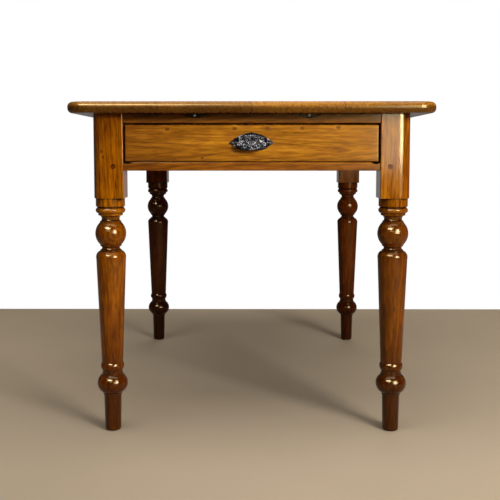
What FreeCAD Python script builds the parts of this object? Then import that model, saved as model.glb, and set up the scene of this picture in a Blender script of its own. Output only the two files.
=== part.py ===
import FreeCAD, Part
import os
import re

import Sketcher
from FreeCAD import Placement, Rotation, Vector

# A pine kitchen table with turned legs, a plank top and a drawer in one end.
# X runs across the table, Y along it from the drawer end to the far end, and Z up.
# The origin is on the floor below the middle of the top. All sizes are in millimetres.

SIZES = {
    # Top
    "table_height": 760,
    "top_width": 820,
    "top_length": 1120,
    "top_thickness": 25,
    "top_overhang": 50,
    "top_corner_radius": 40,
    "top_edge_round": 11,
    # Square block of a leg
    "leg_block": 70,
    "block_length": 191,
    "block_corner_radius": 28,
    "block_edge_ease": 2,
    # Turned part of a leg, from the block down
    "collar_radius": 33.2,
    "collar_height": 18,
    "groove_radius": 29.8,
    "groove_height": 3.7,
    "bead_height": 12.6,
    "bead_swell": 4,
    "fillet_radius": 28,
    "fillet_height": 5.2,
    "cove_height": 8,
    "cove_hollow": 2.2,
    "neck_radius": 20.5,
    "neck_height": 2,
    "ring_radius": 24.4,
    "ring_height": 3,
    "ring_cove_height": 3.4,
    "ring_cove_hollow": 0.8,
    "ball_height": 51.5,
    "ball_swell": 10.9,
    "shoulder_radius": 26.5,
    "shoulder_height": 17.5,
    "shoulder_swell": 3.2,
    "taper_top_radius": 34,
    # Turned part of a leg, from the taper's end down to the floor
    "taper_end_radius": 24.6,
    "ankle_bead_height": 16.5,
    "ankle_bead_swell": 2.5,
    "ankle_neck_radius": 23,
    "ankle_neck_height": 8.5,
    "bulb_ring_radius": 24.2,
    "bulb_ring_height": 3,
    "bulb_height": 42,
    "bulb_swell": 11,
    "foot_collar_radius": 21.8,
    "foot_collar_height": 5,
    "foot_height": 86,
    "foot_radius": 20.2,
    "toe_radius": 18.6,
    "toe_round": 5,
    "toe_swell": 1.4,
    # Aprons and their tenons
    "apron_height": 128,
    "apron_thickness": 24,
    "apron_setback": 4,
    "tenon_thickness": 10,
    "tenon_shoulder": 12,
    "tenon_haunch": 18,
    "tenon_gap": 9,
    "mortise_clearance": 0.2,
    "mortise_spare": 2,
    # Rails above and below the drawer
    "rail_setback": 3,
    "rail_depth": 46,
    "rail_edge_ease": 1.5,
    "top_rail_height": 21,
    "bottom_rail_height": 19,
    "rail_tenon_setback": 9,
    "rail_tenon_thickness": 12,
    "rail_dovetail_length": 28,
    "rail_dovetail_height": 13,
    "rail_dovetail_root": 24,
    "rail_dovetail_end": 32,
    "wear_radius": 20,
    "wear_depth": 4,
    "wear_inset": 10,
    # Scooped pockets for the screws that hold the top
    "pocket_spacing": 258,
    "pocket_width": 62,
    "pocket_height": 10,
    "pocket_depth": 10,
    "pocket_screw_drop": 6.5,
    "pocket_screw_seat": 3.3,
    "pocket_screw_slant": 35,
    # Pegs, screws and nails
    "hole_clearance": 0.1,
    "peg_diameter": 12,
    "peg_bite": 17,
    "peg_proud": 0.5,
    "peg_inset": 22,
    "peg_edge": 20,
    "peg_stagger": 15,
    "screw_diameter": 5,
    "screw_length": 34,
    "screw_tip": 6,
    "screw_head_diameter": 9.5,
    "screw_head_height": 3.2,
    "kicker_screw_sink": 9,
    "nail_diameter": 3.6,
    "nail_bite": 15,
    "nail_tip": 6,
    "nail_head_diameter": 8,
    "nail_head_height": 1.6,
    "pin_diameter": 2.4,
    "pin_bite": 20,
    "pin_tip": 4,
    "pin_head_diameter": 5,
    "pin_head_height": 1.2,
    "pin_inset": 60,
    # Runners, guides, kickers and stops round the drawer
    "running_clearance": 0.3,
    "runner_lip": 8,
    "runner_spare": 60,
    "guide_clearance": 1,
    "guide_width": 18,
    "guide_height": 16,
    "kicker_height": 26,
    "stop_inset": 50,
    "stop_width": 40,
    "stop_length": 20,
    "stop_height": 6,
    "glue_block_size": 22,
    "glue_block_length": 80,
    # Drawer
    "drawer_side_gap": 4.5,
    "drawer_top_gap": 4,
    "drawer_bottom_gap": 2,
    "drawer_kicker_gap": 2.7,
    "drawer_setback": 1,
    "drawer_length": 520,
    "drawer_front_thickness": 20,
    "drawer_front_ease": 2,
    "drawer_side_thickness": 12,
    "drawer_back_thickness": 12,
    "drawer_back_drop": 6,
    "drawer_bottom_thickness": 8,
    "drawer_bottom_rise": 8,
    "drawer_bottom_play": 0.3,
    "drawer_groove": 6,
    "tail_lap": 6,
    "tail_margin": 7,
    "tail_gap": 4,
    "tail_flare": 2.5,
    # Cup handle
    "handle_lift": 3,
    "handle_wing": 17,
    "handle_plate_rise": 23,
    "handle_plate_drop": 17,
    "handle_plate_thickness": 2.6,
    "cup_width": 67,
    "cup_height": 31,
    "cup_reach": 22,
    "cup_lip": 5,
    "cup_wall": 2.6,
    "cup_end_round": 11,
    "handle_screw_diameter": 3.4,
    "handle_screw_length": 17,
    "handle_screw_tip": 4,
    "handle_screw_head_diameter": 7,
    "handle_screw_head_height": 2.2,
}
TOP_BOARDS = 4
TAILS = 3
BOTTOM_BOARDS = 3
NAILS_PER_RUNNER = 3
SCREWS_PER_KICKER = 2
BOTTOM_PINS = 4
GLUE_BLOCKS_PER_SIDE = 2

# Lengths closer than this are taken as equal
TINY = 1e-6
# The most of the top's thickness that one rounded edge may take
ROUND_LIMIT = 0.48

# Places that several pieces share, worked out from the sizes
HALF_WIDTH = "(top_width / 2 - top_overhang)"
HALF_LENGTH = "(top_length / 2 - top_overhang)"
UNDERSIDE = "(table_height - top_thickness)"
BLOCK_FOOT = f"({UNDERSIDE} - block_length)"
LEG_X = f"({HALF_WIDTH} - leg_block / 2)"
LEG_Y = f"({HALF_LENGTH} - leg_block / 2)"
OPENING = f"({HALF_WIDTH} - leg_block)"
BETWEEN_LEGS = f"({HALF_LENGTH} - leg_block)"
APRON_FOOT = f"({UNDERSIDE} - apron_height)"
APRON_INSIDE = f"({HALF_WIDTH} - apron_setback - apron_thickness)"
TENON_SET = "(apron_setback + (apron_thickness - tenon_thickness) / 2)"
TENON_LENGTH = f"(leg_block - {TENON_SET} - tenon_thickness - tenon_gap)"
PEG_LENGTH = f"({TENON_SET} + tenon_thickness + peg_bite)"
RAIL_FRONT = f"(rail_setback - {HALF_LENGTH})"
RAIL_BACK = f"({RAIL_FRONT} + rail_depth)"
SEAT = f"({APRON_FOOT} + bottom_rail_height)"
FAR_INSIDE = f"({HALF_LENGTH} - apron_setback - apron_thickness)"
PEG_ACROSS = f"({OPENING} + peg_inset)"
PEG_ALONG = f"({BETWEEN_LEGS} + peg_inset)"
LOW_PEG = f"({APRON_FOOT} + tenon_shoulder + peg_edge)"
HIGH_PEG = f"({UNDERSIDE} - tenon_haunch - peg_edge)"
SIDE_PEG_LEVELS = [LOW_PEG, HIGH_PEG]
FAR_PEG_LEVELS = [f"({LOW_PEG} + peg_stagger)", f"({HIGH_PEG} - peg_stagger)"]
RAIL_PEG_LEVEL = f"({APRON_FOOT} + bottom_rail_height / 2)"
DRAWER_HALF = f"({OPENING} - drawer_side_gap)"
DRAWER_FACE = f"({RAIL_FRONT} + drawer_setback)"
DRAWER_FRONT_BACK = f"({DRAWER_FACE} + drawer_front_thickness)"
DRAWER_END = f"({DRAWER_FACE} + drawer_length)"
DRAWER_FRONT_FOOT = f"({SEAT} + drawer_bottom_gap)"
DRAWER_FRONT_TOP = f"({UNDERSIDE} - top_rail_height - drawer_top_gap)"
DRAWER_FOOT = f"({SEAT} + running_clearance)"
DRAWER_BACK_FRONT = f"({DRAWER_END} - drawer_back_thickness)"
DRAWER_INSIDE = f"({DRAWER_HALF} - drawer_side_thickness)"
KICKER_FOOT = f"({UNDERSIDE} - kicker_height)"
DRAWER_SIDE_HEIGHT = f"({KICKER_FOOT} - drawer_kicker_gap - {DRAWER_FOOT})"
BOTTOM_UNDERSIDE = f"({DRAWER_FOOT} + drawer_bottom_rise)"
BOTTOM_UPPER = f"({BOTTOM_UNDERSIDE} + drawer_bottom_thickness)"
DRAWER_BACK_HEIGHT = f"({DRAWER_FOOT} + {DRAWER_SIDE_HEIGHT} - drawer_back_drop - {BOTTOM_UPPER})"
RUNNER_INSIDE = f"({DRAWER_INSIDE} - runner_lip)"
RUNNER_END = f"({DRAWER_END} + runner_spare)"
HANDLE_MIDDLE = f"(({DRAWER_FRONT_FOOT} + {DRAWER_FRONT_TOP}) / 2 + handle_lift)"
HANDLE_FOOT = f"({HANDLE_MIDDLE} - (handle_plate_rise + handle_plate_drop) / 2)"
HANDLE_SCREW_LEVEL = f"({HANDLE_FOOT} + handle_plate_drop)"
HANDLE_SCREW_X = "(cup_width + handle_wing) / 2"
PLATE_WIDTH = "(cup_width + 2 * handle_wing)"

# Turns that lay an upright axis along another direction
UPRIGHT = Rotation()
ALONG_X = Rotation(Vector(0, 1, 0), 90)
AGAINST_X = Rotation(Vector(0, 1, 0), -90)
ALONG_Y = Rotation(Vector(1, 0, 0), -90)

doc = FreeCAD.newDocument("kitchen_table")
sheet = doc.addObject("Spreadsheet::Sheet", "sizes")
for row, (size_name, size) in enumerate(SIZES.items(), start=1):
    sheet.set(f"A{row}", size_name)
    sheet.set(f"B{row}", str(size))
    sheet.setAlias(f"B{row}", size_name)
doc.recompute()


# Helpers that bind shapes to the sheet

def cells(text):
    """Write the sheet's name before each size in an expression."""
    return re.sub(r"[a-z]\w*", lambda word: f"sizes.{word[0]}" if word[0] in SIZES else word[0], text)


def value(text):
    """The number that an expression gives now."""
    return float(sheet.evalExpression(cells(text)))


def bind(item, **expressions):
    for name, text in expressions.items():
        item.setExpression(name, cells(text))


def place(item, spot, turn=UPRIGHT):
    item.Placement = Placement(Vector(), turn)
    for axis, text in zip("xyz", spot):
        item.setExpression(f"Placement.Base.{axis}", cells(text))


def new_body(name):
    return doc.addObject("PartDesign::Body", name)


def box(piece, kind, corner, size, name):
    """Add to a body, or cut from it, a box from its low corner."""
    item = piece.newObject(f"PartDesign::{kind}Box", name)
    bind(item, Length=size[0], Width=size[1], Height=size[2])
    place(item, corner)


def hole(piece, spot, turn, radius, depth, name="hole"):
    """Cut a round hole from a spot along a turned axis."""
    item = piece.newObject("PartDesign::SubtractiveCylinder", name)
    bind(item, Radius=radius, Height=depth)
    place(item, spot, turn)


def wedge(piece, kind, spot, turn, widths, heights, length, name):
    """A tapered block along a turned Y axis: its width and height at the near end, then at the far end."""
    item = piece.newObject(f"PartDesign::{kind}Wedge", name)
    bind(item, Xmin=f"-{widths[0]} / 2", Xmax=f"{widths[0]} / 2")
    bind(item, X2min=f"-{widths[1]} / 2", X2max=f"{widths[1]} / 2")
    bind(item, Zmin=f"-{heights[0]} / 2", Zmax=f"{heights[0]} / 2")
    bind(item, Z2min=f"-{heights[1]} / 2", Z2max=f"{heights[1]} / 2")
    bind(item, Ymin="0", Ymax=length)
    place(item, spot, turn)


def round_edges(piece, radius, wanted, name="rounding"):
    """Round the edges of a body's last feature that a test picks."""
    doc.recompute()
    base = piece.Tip
    edges = [f"Edge{index}" for index, edge in enumerate(base.Shape.Edges, start=1) if wanted(edge)]
    item = piece.newObject("PartDesign::Fillet", name)
    item.Base = (base, edges)
    bind(item, Radius=radius)


def is_upright(edge):
    return edge.BoundBox.XLength < TINY and edge.BoundBox.YLength < TINY


def is_level(edge):
    return edge.BoundBox.ZLength < TINY


def is_in_front(edge, face):
    """Whether an edge lies in a face at one place along Y."""
    return edge.BoundBox.YLength < TINY and abs(edge.CenterOfMass.y - face) < TINY


def draw(sketch, points):
    """Draw and bind a closed outline: each point is across, up, and the swell of the edge to the next one.

    An edge with no swell is straight. Going down the right side of the outline, a swell above 0 bulges out.
    """
    spots = [Vector(value(across), value(up), 0) for across, up, _ in points]
    count = len(points)
    for here, (_, _, swell) in enumerate(points):
        start = spots[here]
        end = spots[(here + 1) % count]
        if not swell:
            sketch.addGeometry(Part.LineSegment(start, end))
            continue
        outward = Vector(start.y - end.y, end.x - start.x, 0).normalize()
        sketch.addGeometry(Part.Arc(start, (start + end) / 2 + outward * value(swell), end))
    first = [1 if sketch.getPoint(index, 1).isEqual(spots[index], TINY) else 2 for index in range(count)]
    for here, (across, up, swell) in enumerate(points):
        there = (here + 1) % count
        sketch.addConstraint(Sketcher.Constraint("Coincident", here, 3 - first[here], there, first[there]))
        for kind, axis, text in (("DistanceX", -2, across), ("DistanceY", -1, up)):
            if text == "0":
                sketch.addConstraint(Sketcher.Constraint("PointOnObject", here, first[here], axis))
                continue
            rule = Sketcher.Constraint(kind, -1, 1, here, first[here], value(text))
            sketch.setExpression(f"Constraints[{sketch.addConstraint(rule)}]", cells(text))
        if swell:
            next_across, next_up, _ = points[there]
            chord = f"((({across}) - ({next_across}))^2 + (({up}) - ({next_up}))^2)"
            radius = f"{chord} / (8 * abs({swell})) + abs({swell}) / 2"
            rule = Sketcher.Constraint("Radius", here, value(radius))
            sketch.setExpression(f"Constraints[{sketch.addConstraint(rule)}]", cells(radius))


def dome_swell(depth, spread):
    """Swell of an arc that is square to its axis at its crown and falls by a depth over a spread."""
    chord = f"sqrt(({depth})^2 + ({spread})^2)"
    bend = f"({chord}^2 / (2 * ({depth})))"
    return f"({bend} - sqrt({bend}^2 - ({chord} / 2)^2))"


def body_sketch(piece, plane, name, points):
    """A bound outline on one of a body's own planes."""
    sketch = piece.newObject("Sketcher::SketchObject", name)
    support = next(item for item in piece.Origin.OriginFeatures if item.Role == plane)
    sketch.AttachmentSupport = (support, [""])
    sketch.MapMode = "FlatFace"
    draw(sketch, points)
    return sketch


def feature(kind, label, **links):
    item = doc.addObject(f"Part::{kind}", label)
    for name, link in links.items():
        setattr(item, name, link)
    return item


def mirrored(source, label):
    """The right-hand copy of a left-hand piece."""
    return feature("Mirroring", label, Source=source, Normal=Vector(1, 0, 0))


def group(label, pieces):
    return feature("Compound", label, Links=pieces)


def loose_box(label, corner, size):
    item = feature("Box", label)
    bind(item, Length=size[0], Width=size[1], Height=size[2])
    place(item, corner)
    return item


def loose_rod(label, spot, turn, radius, length):
    item = feature("Cylinder", label)
    bind(item, Radius=radius, Height=length)
    place(item, spot, turn)
    return item


# Screws and nails, each turned from a half outline with its axis upright and its head at the origin

def fastener_outline(label, size, length, domed=False):
    """Half outline of a screw or nail, named for its sizes, whose shank is this long below the head."""
    sketch = doc.addObject("Sketcher::SketchObject", f"{label}_outline")
    sketch.Placement = Placement(Vector(), Rotation(Vector(1, 0, 0), 90))
    head = f"{size}_head_diameter / 2"
    shank = f"{size}_diameter / 2"
    under_head = f"{size}_head_height"
    point = f"{under_head} + {length}"
    draw(sketch, [
        ("0", point, ""),
        (shank, f"{point} - {size}_tip", ""),
        (shank, under_head, ""),
        (head, under_head, dome_swell(under_head, head) if domed else ""),
        ("0" if domed else head, "0", ""),
        *([] if domed else [("0", "0", "")]),
    ])
    return sketch


def fastener(outline, spot, turn):
    item = feature("Revolution", outline.Label.replace("outline", "copy"), Source=outline, Solid=True)
    item.Axis = Vector(0, 0, 1)
    item.Angle = 360
    place(item, spot, turn)
    return item


def fastener_hole(piece, size, spot, turn, length, recess):
    """Clear a fastener: its shank from the spot inwards, and its head in a recess that starts at the spot."""
    hole(piece, spot, turn, f"{size}_diameter / 2 + hole_clearance", length)
    hole(piece, spot, turn, f"{size}_head_diameter / 2 + hole_clearance", recess, "head_recess")


# Pockets in the top edge of a rail, and the slanted screws in them

POCKET_SIDES = ["pocket_spacing / 2", "-pocket_spacing / 2"]
POCKET_RADIUS = "(((pocket_width / 2)^2 + pocket_height^2) / (2 * pocket_height))"
SLANT = Rotation(Vector(1, 0, 0), value("pocket_screw_slant") - 90)
SEAT_IN = "(pocket_screw_seat * cos(pocket_screw_slant * 1 deg))"
SEAT_UP = "(pocket_screw_seat * sin(pocket_screw_slant * 1 deg))"


def pocket_screw_spot(across, face, back_off="0"):
    """A point on a pocket screw's axis, a distance back from the seat under its head."""
    along = f"{face} + pocket_depth + {SEAT_IN} - {back_off} * cos(pocket_screw_slant * 1 deg)"
    up = f"{UNDERSIDE} - pocket_screw_drop + {SEAT_UP} - {back_off} * sin(pocket_screw_slant * 1 deg)"
    return across, along, up


def pocket_screw_spots(back_off="0"):
    """The same point on the axis of every pocket screw, in the upper rail and then in the far apron."""
    faces = (RAIL_FRONT, FAR_INSIDE)
    return [pocket_screw_spot(across, face, back_off) for face in faces for across in POCKET_SIDES]


def cut_pockets(piece, face):
    """Scoop a rail's two pockets from the face that looks towards the drawer end, and drill their screws."""
    for across in POCKET_SIDES:
        centre = f"{UNDERSIDE} - pocket_height + {POCKET_RADIUS}"
        spot = (across, f"{face} - pocket_depth", centre)
        hole(piece, spot, ALONG_Y, POCKET_RADIUS, "2 * pocket_depth", "pocket")
        shank = "screw_diameter / 2 + hole_clearance"
        hole(piece, pocket_screw_spot(across, face), SLANT, shank, "screw_length + hole_clearance")
        head = "screw_head_diameter / 2 + hole_clearance"
        outside = pocket_screw_spot(across, face, "pocket_depth")
        hole(piece, outside, SLANT, head, "pocket_depth", "head_recess")


# Legs

def stack(entries, top=None):
    """Outline points from entries of radius, swell and height listed downwards, from a top or up from 0."""
    points = []
    if top:
        level = top
        for radius, swell, height in entries:
            points.append((radius, level, swell))
            level = f"{level} - {height}"
        return points
    level = ""
    for radius, swell, height in reversed(entries):
        level = f"{level} + {height}" if level else height
        points.append((radius, level, swell))
    return points[::-1]


def leg_outline():
    """Half outline of the turned part, from the block's underside to the floor."""
    upper = stack([
        ("collar_radius", "", "collar_height"),
        ("collar_radius", "", "groove_height"),
        ("groove_radius", "bead_swell", "bead_height"),
        ("groove_radius", "", "0"),
        ("fillet_radius", "", "fillet_height"),
        ("fillet_radius", "-cove_hollow", "cove_height"),
        ("neck_radius", "", "neck_height"),
        ("neck_radius", "-ring_cove_hollow", "ring_cove_height"),
        ("ring_radius", "", "ring_height"),
        ("ring_radius", "ball_swell", "ball_height"),
        ("ring_radius", "", "ring_height"),
        ("ring_radius", "-ring_cove_hollow", "ring_cove_height"),
        ("neck_radius", "", "neck_height"),
        ("neck_radius", "-ring_cove_hollow", "ring_cove_height"),
        ("ring_radius", "", "ring_height"),
        ("ring_radius", "", "0"),
        ("shoulder_radius", "shoulder_swell", "shoulder_height"),
        ("taper_top_radius", "", "0"),
    ], BLOCK_FOOT)
    lower = stack([
        ("taper_end_radius", "ankle_bead_swell", "ankle_bead_height"),
        ("taper_end_radius", "", "0"),
        ("ankle_neck_radius", "", "ankle_neck_height"),
        ("ankle_neck_radius", "", "0"),
        ("bulb_ring_radius", "", "bulb_ring_height"),
        ("bulb_ring_radius", "bulb_swell", "bulb_height"),
        ("bulb_ring_radius", "", "0"),
        ("foot_collar_radius", "", "foot_collar_height"),
        ("foot_collar_radius", "", "0"),
        ("foot_radius", "", "foot_height - toe_round"),
        ("toe_radius", "toe_swell", "toe_round"),
    ])
    return [("0", BLOCK_FOOT, ""), *upper, *lower, ("toe_radius - toe_round", "0", ""), ("0", "0", "")]


def leg_blank(label):
    """A leg on its own axis with no joints cut, its outer corner towards low X and low Y."""
    leg = new_body(label)
    corner = ("-leg_block / 2", "-leg_block / 2", BLOCK_FOOT)
    box(leg, "Additive", corner, ("leg_block", "leg_block", "block_length"), "block")
    round_edges(leg, "block_corner_radius", lambda edge: is_upright(edge) and edge.CenterOfMass.x < 0
                and edge.CenterOfMass.y < 0, "outer_corner")
    reach = value("leg_block") - TINY
    round_edges(leg, "block_edge_ease", lambda edge: is_upright(edge)
                and abs(edge.CenterOfMass.x) + abs(edge.CenterOfMass.y) > reach, "eased_corners")
    outline = body_sketch(leg, "XZ_Plane", "turned_outline", leg_outline())
    turning = leg.newObject("PartDesign::Revolution", "turning")
    turning.Profile = outline
    turning.ReferenceAxis = (outline, ["V_Axis"])
    turning.Angle = 360
    return leg


def apron_mortise(leg, across, peg_levels):
    """Cut the mortise and peg holes for an apron on the leg's inner face across X, or else along Y."""
    side = f"{TENON_SET} - leg_block / 2 - mortise_clearance"
    end = f"leg_block / 2 - {TENON_LENGTH} - mortise_spare"
    foot = f"{APRON_FOOT} + tenon_shoulder - mortise_clearance"
    width = "tenon_thickness + 2 * mortise_clearance"
    depth = f"{TENON_LENGTH} + 2 * mortise_spare"
    height = "apron_height - tenon_shoulder - tenon_haunch + 2 * mortise_clearance"
    corner = (end, side, foot) if across else (side, end, foot)
    size = (depth, width, height) if across else (width, depth, height)
    box(leg, "Subtractive", corner, size, "mortise")
    for level in peg_levels:
        peg_hole(leg, level, across)


def peg_hole(leg, level, across):
    """Drill a leg for a peg from its outer face: across an X tenon it runs along Y."""
    outside = "-leg_block / 2 - peg_proud"
    inward = "leg_block / 2 - peg_inset"
    spot = (inward, outside, level) if across else (outside, inward, level)
    turn = ALONG_Y if across else ALONG_X
    depth = f"{PEG_LENGTH} + 2 * peg_proud"
    hole(leg, spot, turn, "peg_diameter / 2 + hole_clearance", depth, "peg_hole")


def front_leg(label):
    leg = leg_blank(label)
    apron_mortise(leg, False, SIDE_PEG_LEVELS)
    corner = (f"leg_block / 2 - {TENON_LENGTH} - mortise_spare",
              "rail_setback + rail_tenon_setback - leg_block / 2 - mortise_clearance",
              f"{APRON_FOOT} - mortise_clearance")
    size = (f"{TENON_LENGTH} + 2 * mortise_spare", "rail_tenon_thickness + 2 * mortise_clearance",
            "bottom_rail_height + 2 * mortise_clearance")
    box(leg, "Subtractive", corner, size, "rail_mortise")
    peg_hole(leg, RAIL_PEG_LEVEL, across=True)
    socket_spot = ("leg_block / 2", "rail_setback + rail_depth / 2 - leg_block / 2")
    rail_dovetail(leg, "Subtractive", socket_spot, 90)
    place(leg, (f"-{LEG_X}", f"-{LEG_Y}", "0"))
    return leg


def back_leg(label):
    """A back leg, whose quarter turn brings its Y mortise to the far apron and its X mortise to the side."""
    leg = leg_blank(label)
    apron_mortise(leg, False, FAR_PEG_LEVELS)
    apron_mortise(leg, True, SIDE_PEG_LEVELS)
    place(leg, (f"-{LEG_X}", LEG_Y, "0"), Rotation(Vector(0, 0, 1), -90))
    return leg


def rail_dovetail(piece, kind, spot, degrees):
    """Dovetail at the end of the upper rail, or its socket, which widens away from the drawer opening."""
    widths = ("rail_dovetail_root", "rail_dovetail_end")
    heights = ("rail_dovetail_height", "rail_dovetail_height")
    middle = (*spot, f"{UNDERSIDE} - rail_dovetail_height / 2")
    turn = Rotation(Vector(0, 0, 1), degrees)
    wedge(piece, kind, middle, turn, widths, heights, "rail_dovetail_length", "dovetail")


# Aprons and rails

def apron(label, across):
    """The far apron across the table, or else the left side apron, with a tenon at each end."""
    piece = new_body(label)
    half = OPENING if across else BETWEEN_LEGS
    outside = FAR_INSIDE if across else f"-{HALF_WIDTH} + apron_setback"
    cheek = f"{outside} + (apron_thickness - tenon_thickness) / 2"
    tenon_foot = f"{APRON_FOOT} + tenon_shoulder"
    tenon_height = "apron_height - tenon_shoulder - tenon_haunch"
    boards = [
        ("board", outside, f"-{half}", APRON_FOOT, "apron_thickness", f"2 * {half}", "apron_height"),
        ("tenons", cheek, f"-{half} - {TENON_LENGTH}", tenon_foot,
         "tenon_thickness", f"2 * ({half} + {TENON_LENGTH})", tenon_height),
    ]
    for name, side, end, foot, width, length, height in boards:
        corner = (end, side, foot) if across else (side, end, foot)
        size = (length, width, height) if across else (width, length, height)
        box(piece, "Additive", corner, size, name)
    turn = ALONG_Y if across else ALONG_X
    for sign in ("-", ""):
        for level in FAR_PEG_LEVELS if across else SIDE_PEG_LEVELS:
            spot = (f"{sign}{PEG_ACROSS}", FAR_INSIDE, level) if across else (
                f"-{HALF_WIDTH}", f"{sign}{PEG_ALONG}", level)
            hole(piece, spot, turn, "peg_diameter / 2 + hole_clearance", PEG_LENGTH, "peg_hole")
    return piece


def side_apron(label):
    piece = apron(label, across=False)
    for spot in [*nail_spots(RUNNER_LEVEL), *nail_spots(KICKER_LEVEL)]:
        hole(piece, spot, AGAINST_X, "nail_diameter / 2 + hole_clearance", NAIL_DEPTH)
    return piece


def far_apron(label):
    piece = apron(label, across=True)
    cut_pockets(piece, FAR_INSIDE)
    return piece


def rail_board(label, foot, height):
    """A flat rail between the front legs, with its front edges eased."""
    piece = new_body(label)
    corner = (f"-{OPENING}", RAIL_FRONT, foot)
    box(piece, "Additive", corner, (f"2 * {OPENING}", "rail_depth", height), "board")
    front = value(RAIL_FRONT)
    round_edges(piece, "rail_edge_ease", lambda edge: is_level(edge) and is_in_front(edge, front))
    return piece


def top_rail(label):
    rail = rail_board(label, f"{UNDERSIDE} - top_rail_height", "top_rail_height")
    middle = f"{RAIL_FRONT} + rail_depth / 2"
    rail_dovetail(rail, "Additive", (f"-{OPENING}", middle), 90)
    rail_dovetail(rail, "Additive", (OPENING, middle), -90)
    cut_pockets(rail, RAIL_FRONT)
    return rail


def bottom_rail(label):
    """The rail below the drawer, tenoned and pegged, and worn hollow at both ends of its upper face."""
    rail = rail_board(label, APRON_FOOT, "bottom_rail_height")
    corner = (f"-{OPENING} - {TENON_LENGTH}", f"{RAIL_FRONT} + rail_tenon_setback", APRON_FOOT)
    size = (f"2 * ({OPENING} + {TENON_LENGTH})", "rail_tenon_thickness", "bottom_rail_height")
    box(rail, "Additive", corner, size, "tenons")
    for sign in ("-", ""):
        spot = (f"{sign}{PEG_ACROSS}", f"-{HALF_LENGTH}", RAIL_PEG_LEVEL)
        hole(rail, spot, ALONG_Y, "peg_diameter / 2 + hole_clearance", PEG_LENGTH, "peg_hole")
        spot = (f"{sign}({OPENING} - wear_inset)", RAIL_FRONT, f"{SEAT} + wear_radius - wear_depth")
        hole(rail, spot, ALONG_Y, "wear_radius", "rail_depth", "wear")
    return rail


# Pegs through the tenons

def peg(spot, turn):
    return loose_rod("peg", spot, turn, "peg_diameter / 2", f"{PEG_LENGTH} + peg_proud")


def rail_pegs(label):
    outside = f"-{HALF_LENGTH} - peg_proud"
    spots = [(f"{sign}{PEG_ACROSS}", outside, RAIL_PEG_LEVEL) for sign in ("-", "")]
    return group(label, [peg(spot, ALONG_Y) for spot in spots])


def side_apron_pegs(label):
    outside = f"-{HALF_WIDTH} - peg_proud"
    spots = [(outside, f"{sign}{PEG_ALONG}", level) for sign in ("-", "") for level in SIDE_PEG_LEVELS]
    return both_sides(label, [peg(spot, ALONG_X) for spot in spots])


def far_apron_pegs(label):
    start = f"{HALF_LENGTH} - {PEG_LENGTH}"
    spots = [(f"{sign}{PEG_ACROSS}", start, level) for sign in ("-", "") for level in FAR_PEG_LEVELS]
    return group(label, [peg(spot, ALONG_Y) for spot in spots])


def both_sides(label, left_pieces):
    """One group of the left-hand pieces and their right-hand copies."""
    left = group(f"{label}_left", left_pieces)
    return group(label, [left, mirrored(left, f"{label}_right")])


# Runners, guides, kickers, stops and glue blocks

RUNNER_LEVEL = RAIL_PEG_LEVEL
KICKER_LEVEL = f"({UNDERSIDE} - kicker_height / 2)"
RUNNER_WIDTH = f"({APRON_INSIDE} - {RUNNER_INSIDE})"
RUNNER_LENGTH = f"({RUNNER_END} + {BETWEEN_LEGS})"
NAIL_LENGTH = f"({RUNNER_WIDTH} - nail_head_height + nail_bite)"
NAIL_DEPTH = f"({RUNNER_WIDTH} + nail_bite + hole_clearance)"


def along_runner(step, count):
    """The place of one of several evenly spaced fixings along a runner or kicker."""
    return f"-{BETWEEN_LEGS} + {RUNNER_LENGTH} * {(step + 0.5) / count}"


def nail_spots(level):
    """The heads of the left-hand nails that go through a runner or kicker into the side apron."""
    places = [along_runner(step, NAILS_PER_RUNNER) for step in range(NAILS_PER_RUNNER)]
    return [(f"-{RUNNER_INSIDE}", along, level) for along in places]


def kicker_screw_spots():
    """The heads of the left-hand screws that go up through a kicker into the top."""
    across = f"-({APRON_INSIDE} + {RUNNER_INSIDE}) / 2"
    level = f"{KICKER_FOOT} + kicker_screw_sink - screw_head_height"
    return [(across, along_runner(step, SCREWS_PER_KICKER), level) for step in range(SCREWS_PER_KICKER)]


def slide_strip(label, foot, height, nail_level):
    """A left-hand strip nailed to the side apron, notched round the front leg to meet the rail."""
    strip = new_body(label)
    corner = (f"-{APRON_INSIDE}", f"-{BETWEEN_LEGS}", foot)
    box(strip, "Additive", corner, (RUNNER_WIDTH, RUNNER_LENGTH, height), "strip")
    nose_size = (f"{OPENING} - {RUNNER_INSIDE}", f"{RUNNER_END} - {RAIL_BACK}", height)
    box(strip, "Additive", (f"-{OPENING}", RAIL_BACK, foot), nose_size, "nose")
    for spot in nail_spots(nail_level):
        fastener_hole(strip, "nail", spot, AGAINST_X, NAIL_DEPTH, "nail_head_height")
    return strip


def runner(label):
    return slide_strip(label, APRON_FOOT, "bottom_rail_height", RUNNER_LEVEL)


def kicker(label):
    strip = slide_strip(label, KICKER_FOOT, "kicker_height", KICKER_LEVEL)
    for across, along, _ in kicker_screw_spots():
        spot = (across, along, KICKER_FOOT)
        fastener_hole(strip, "screw", spot, UPRIGHT, "kicker_height", "kicker_screw_sink")
    return strip


def guide(label):
    """A strip on the left-hand runner that keeps the drawer straight."""
    strip = new_body(label)
    corner = (f"-{DRAWER_HALF} - guide_clearance - guide_width", f"-{BETWEEN_LEGS}", SEAT)
    box(strip, "Additive", corner, ("guide_width", RUNNER_LENGTH, "guide_height"), "strip")
    return strip


def drawer_stops(label):
    """Two blocks on the lower rail that the drawer front comes to rest against."""
    corner = (f"-{DRAWER_INSIDE} + stop_inset", f"{DRAWER_FRONT_BACK} + running_clearance", SEAT)
    left = loose_box("stop", corner, ("stop_width", "stop_length", "stop_height"))
    return both_sides(label, [left])


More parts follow.
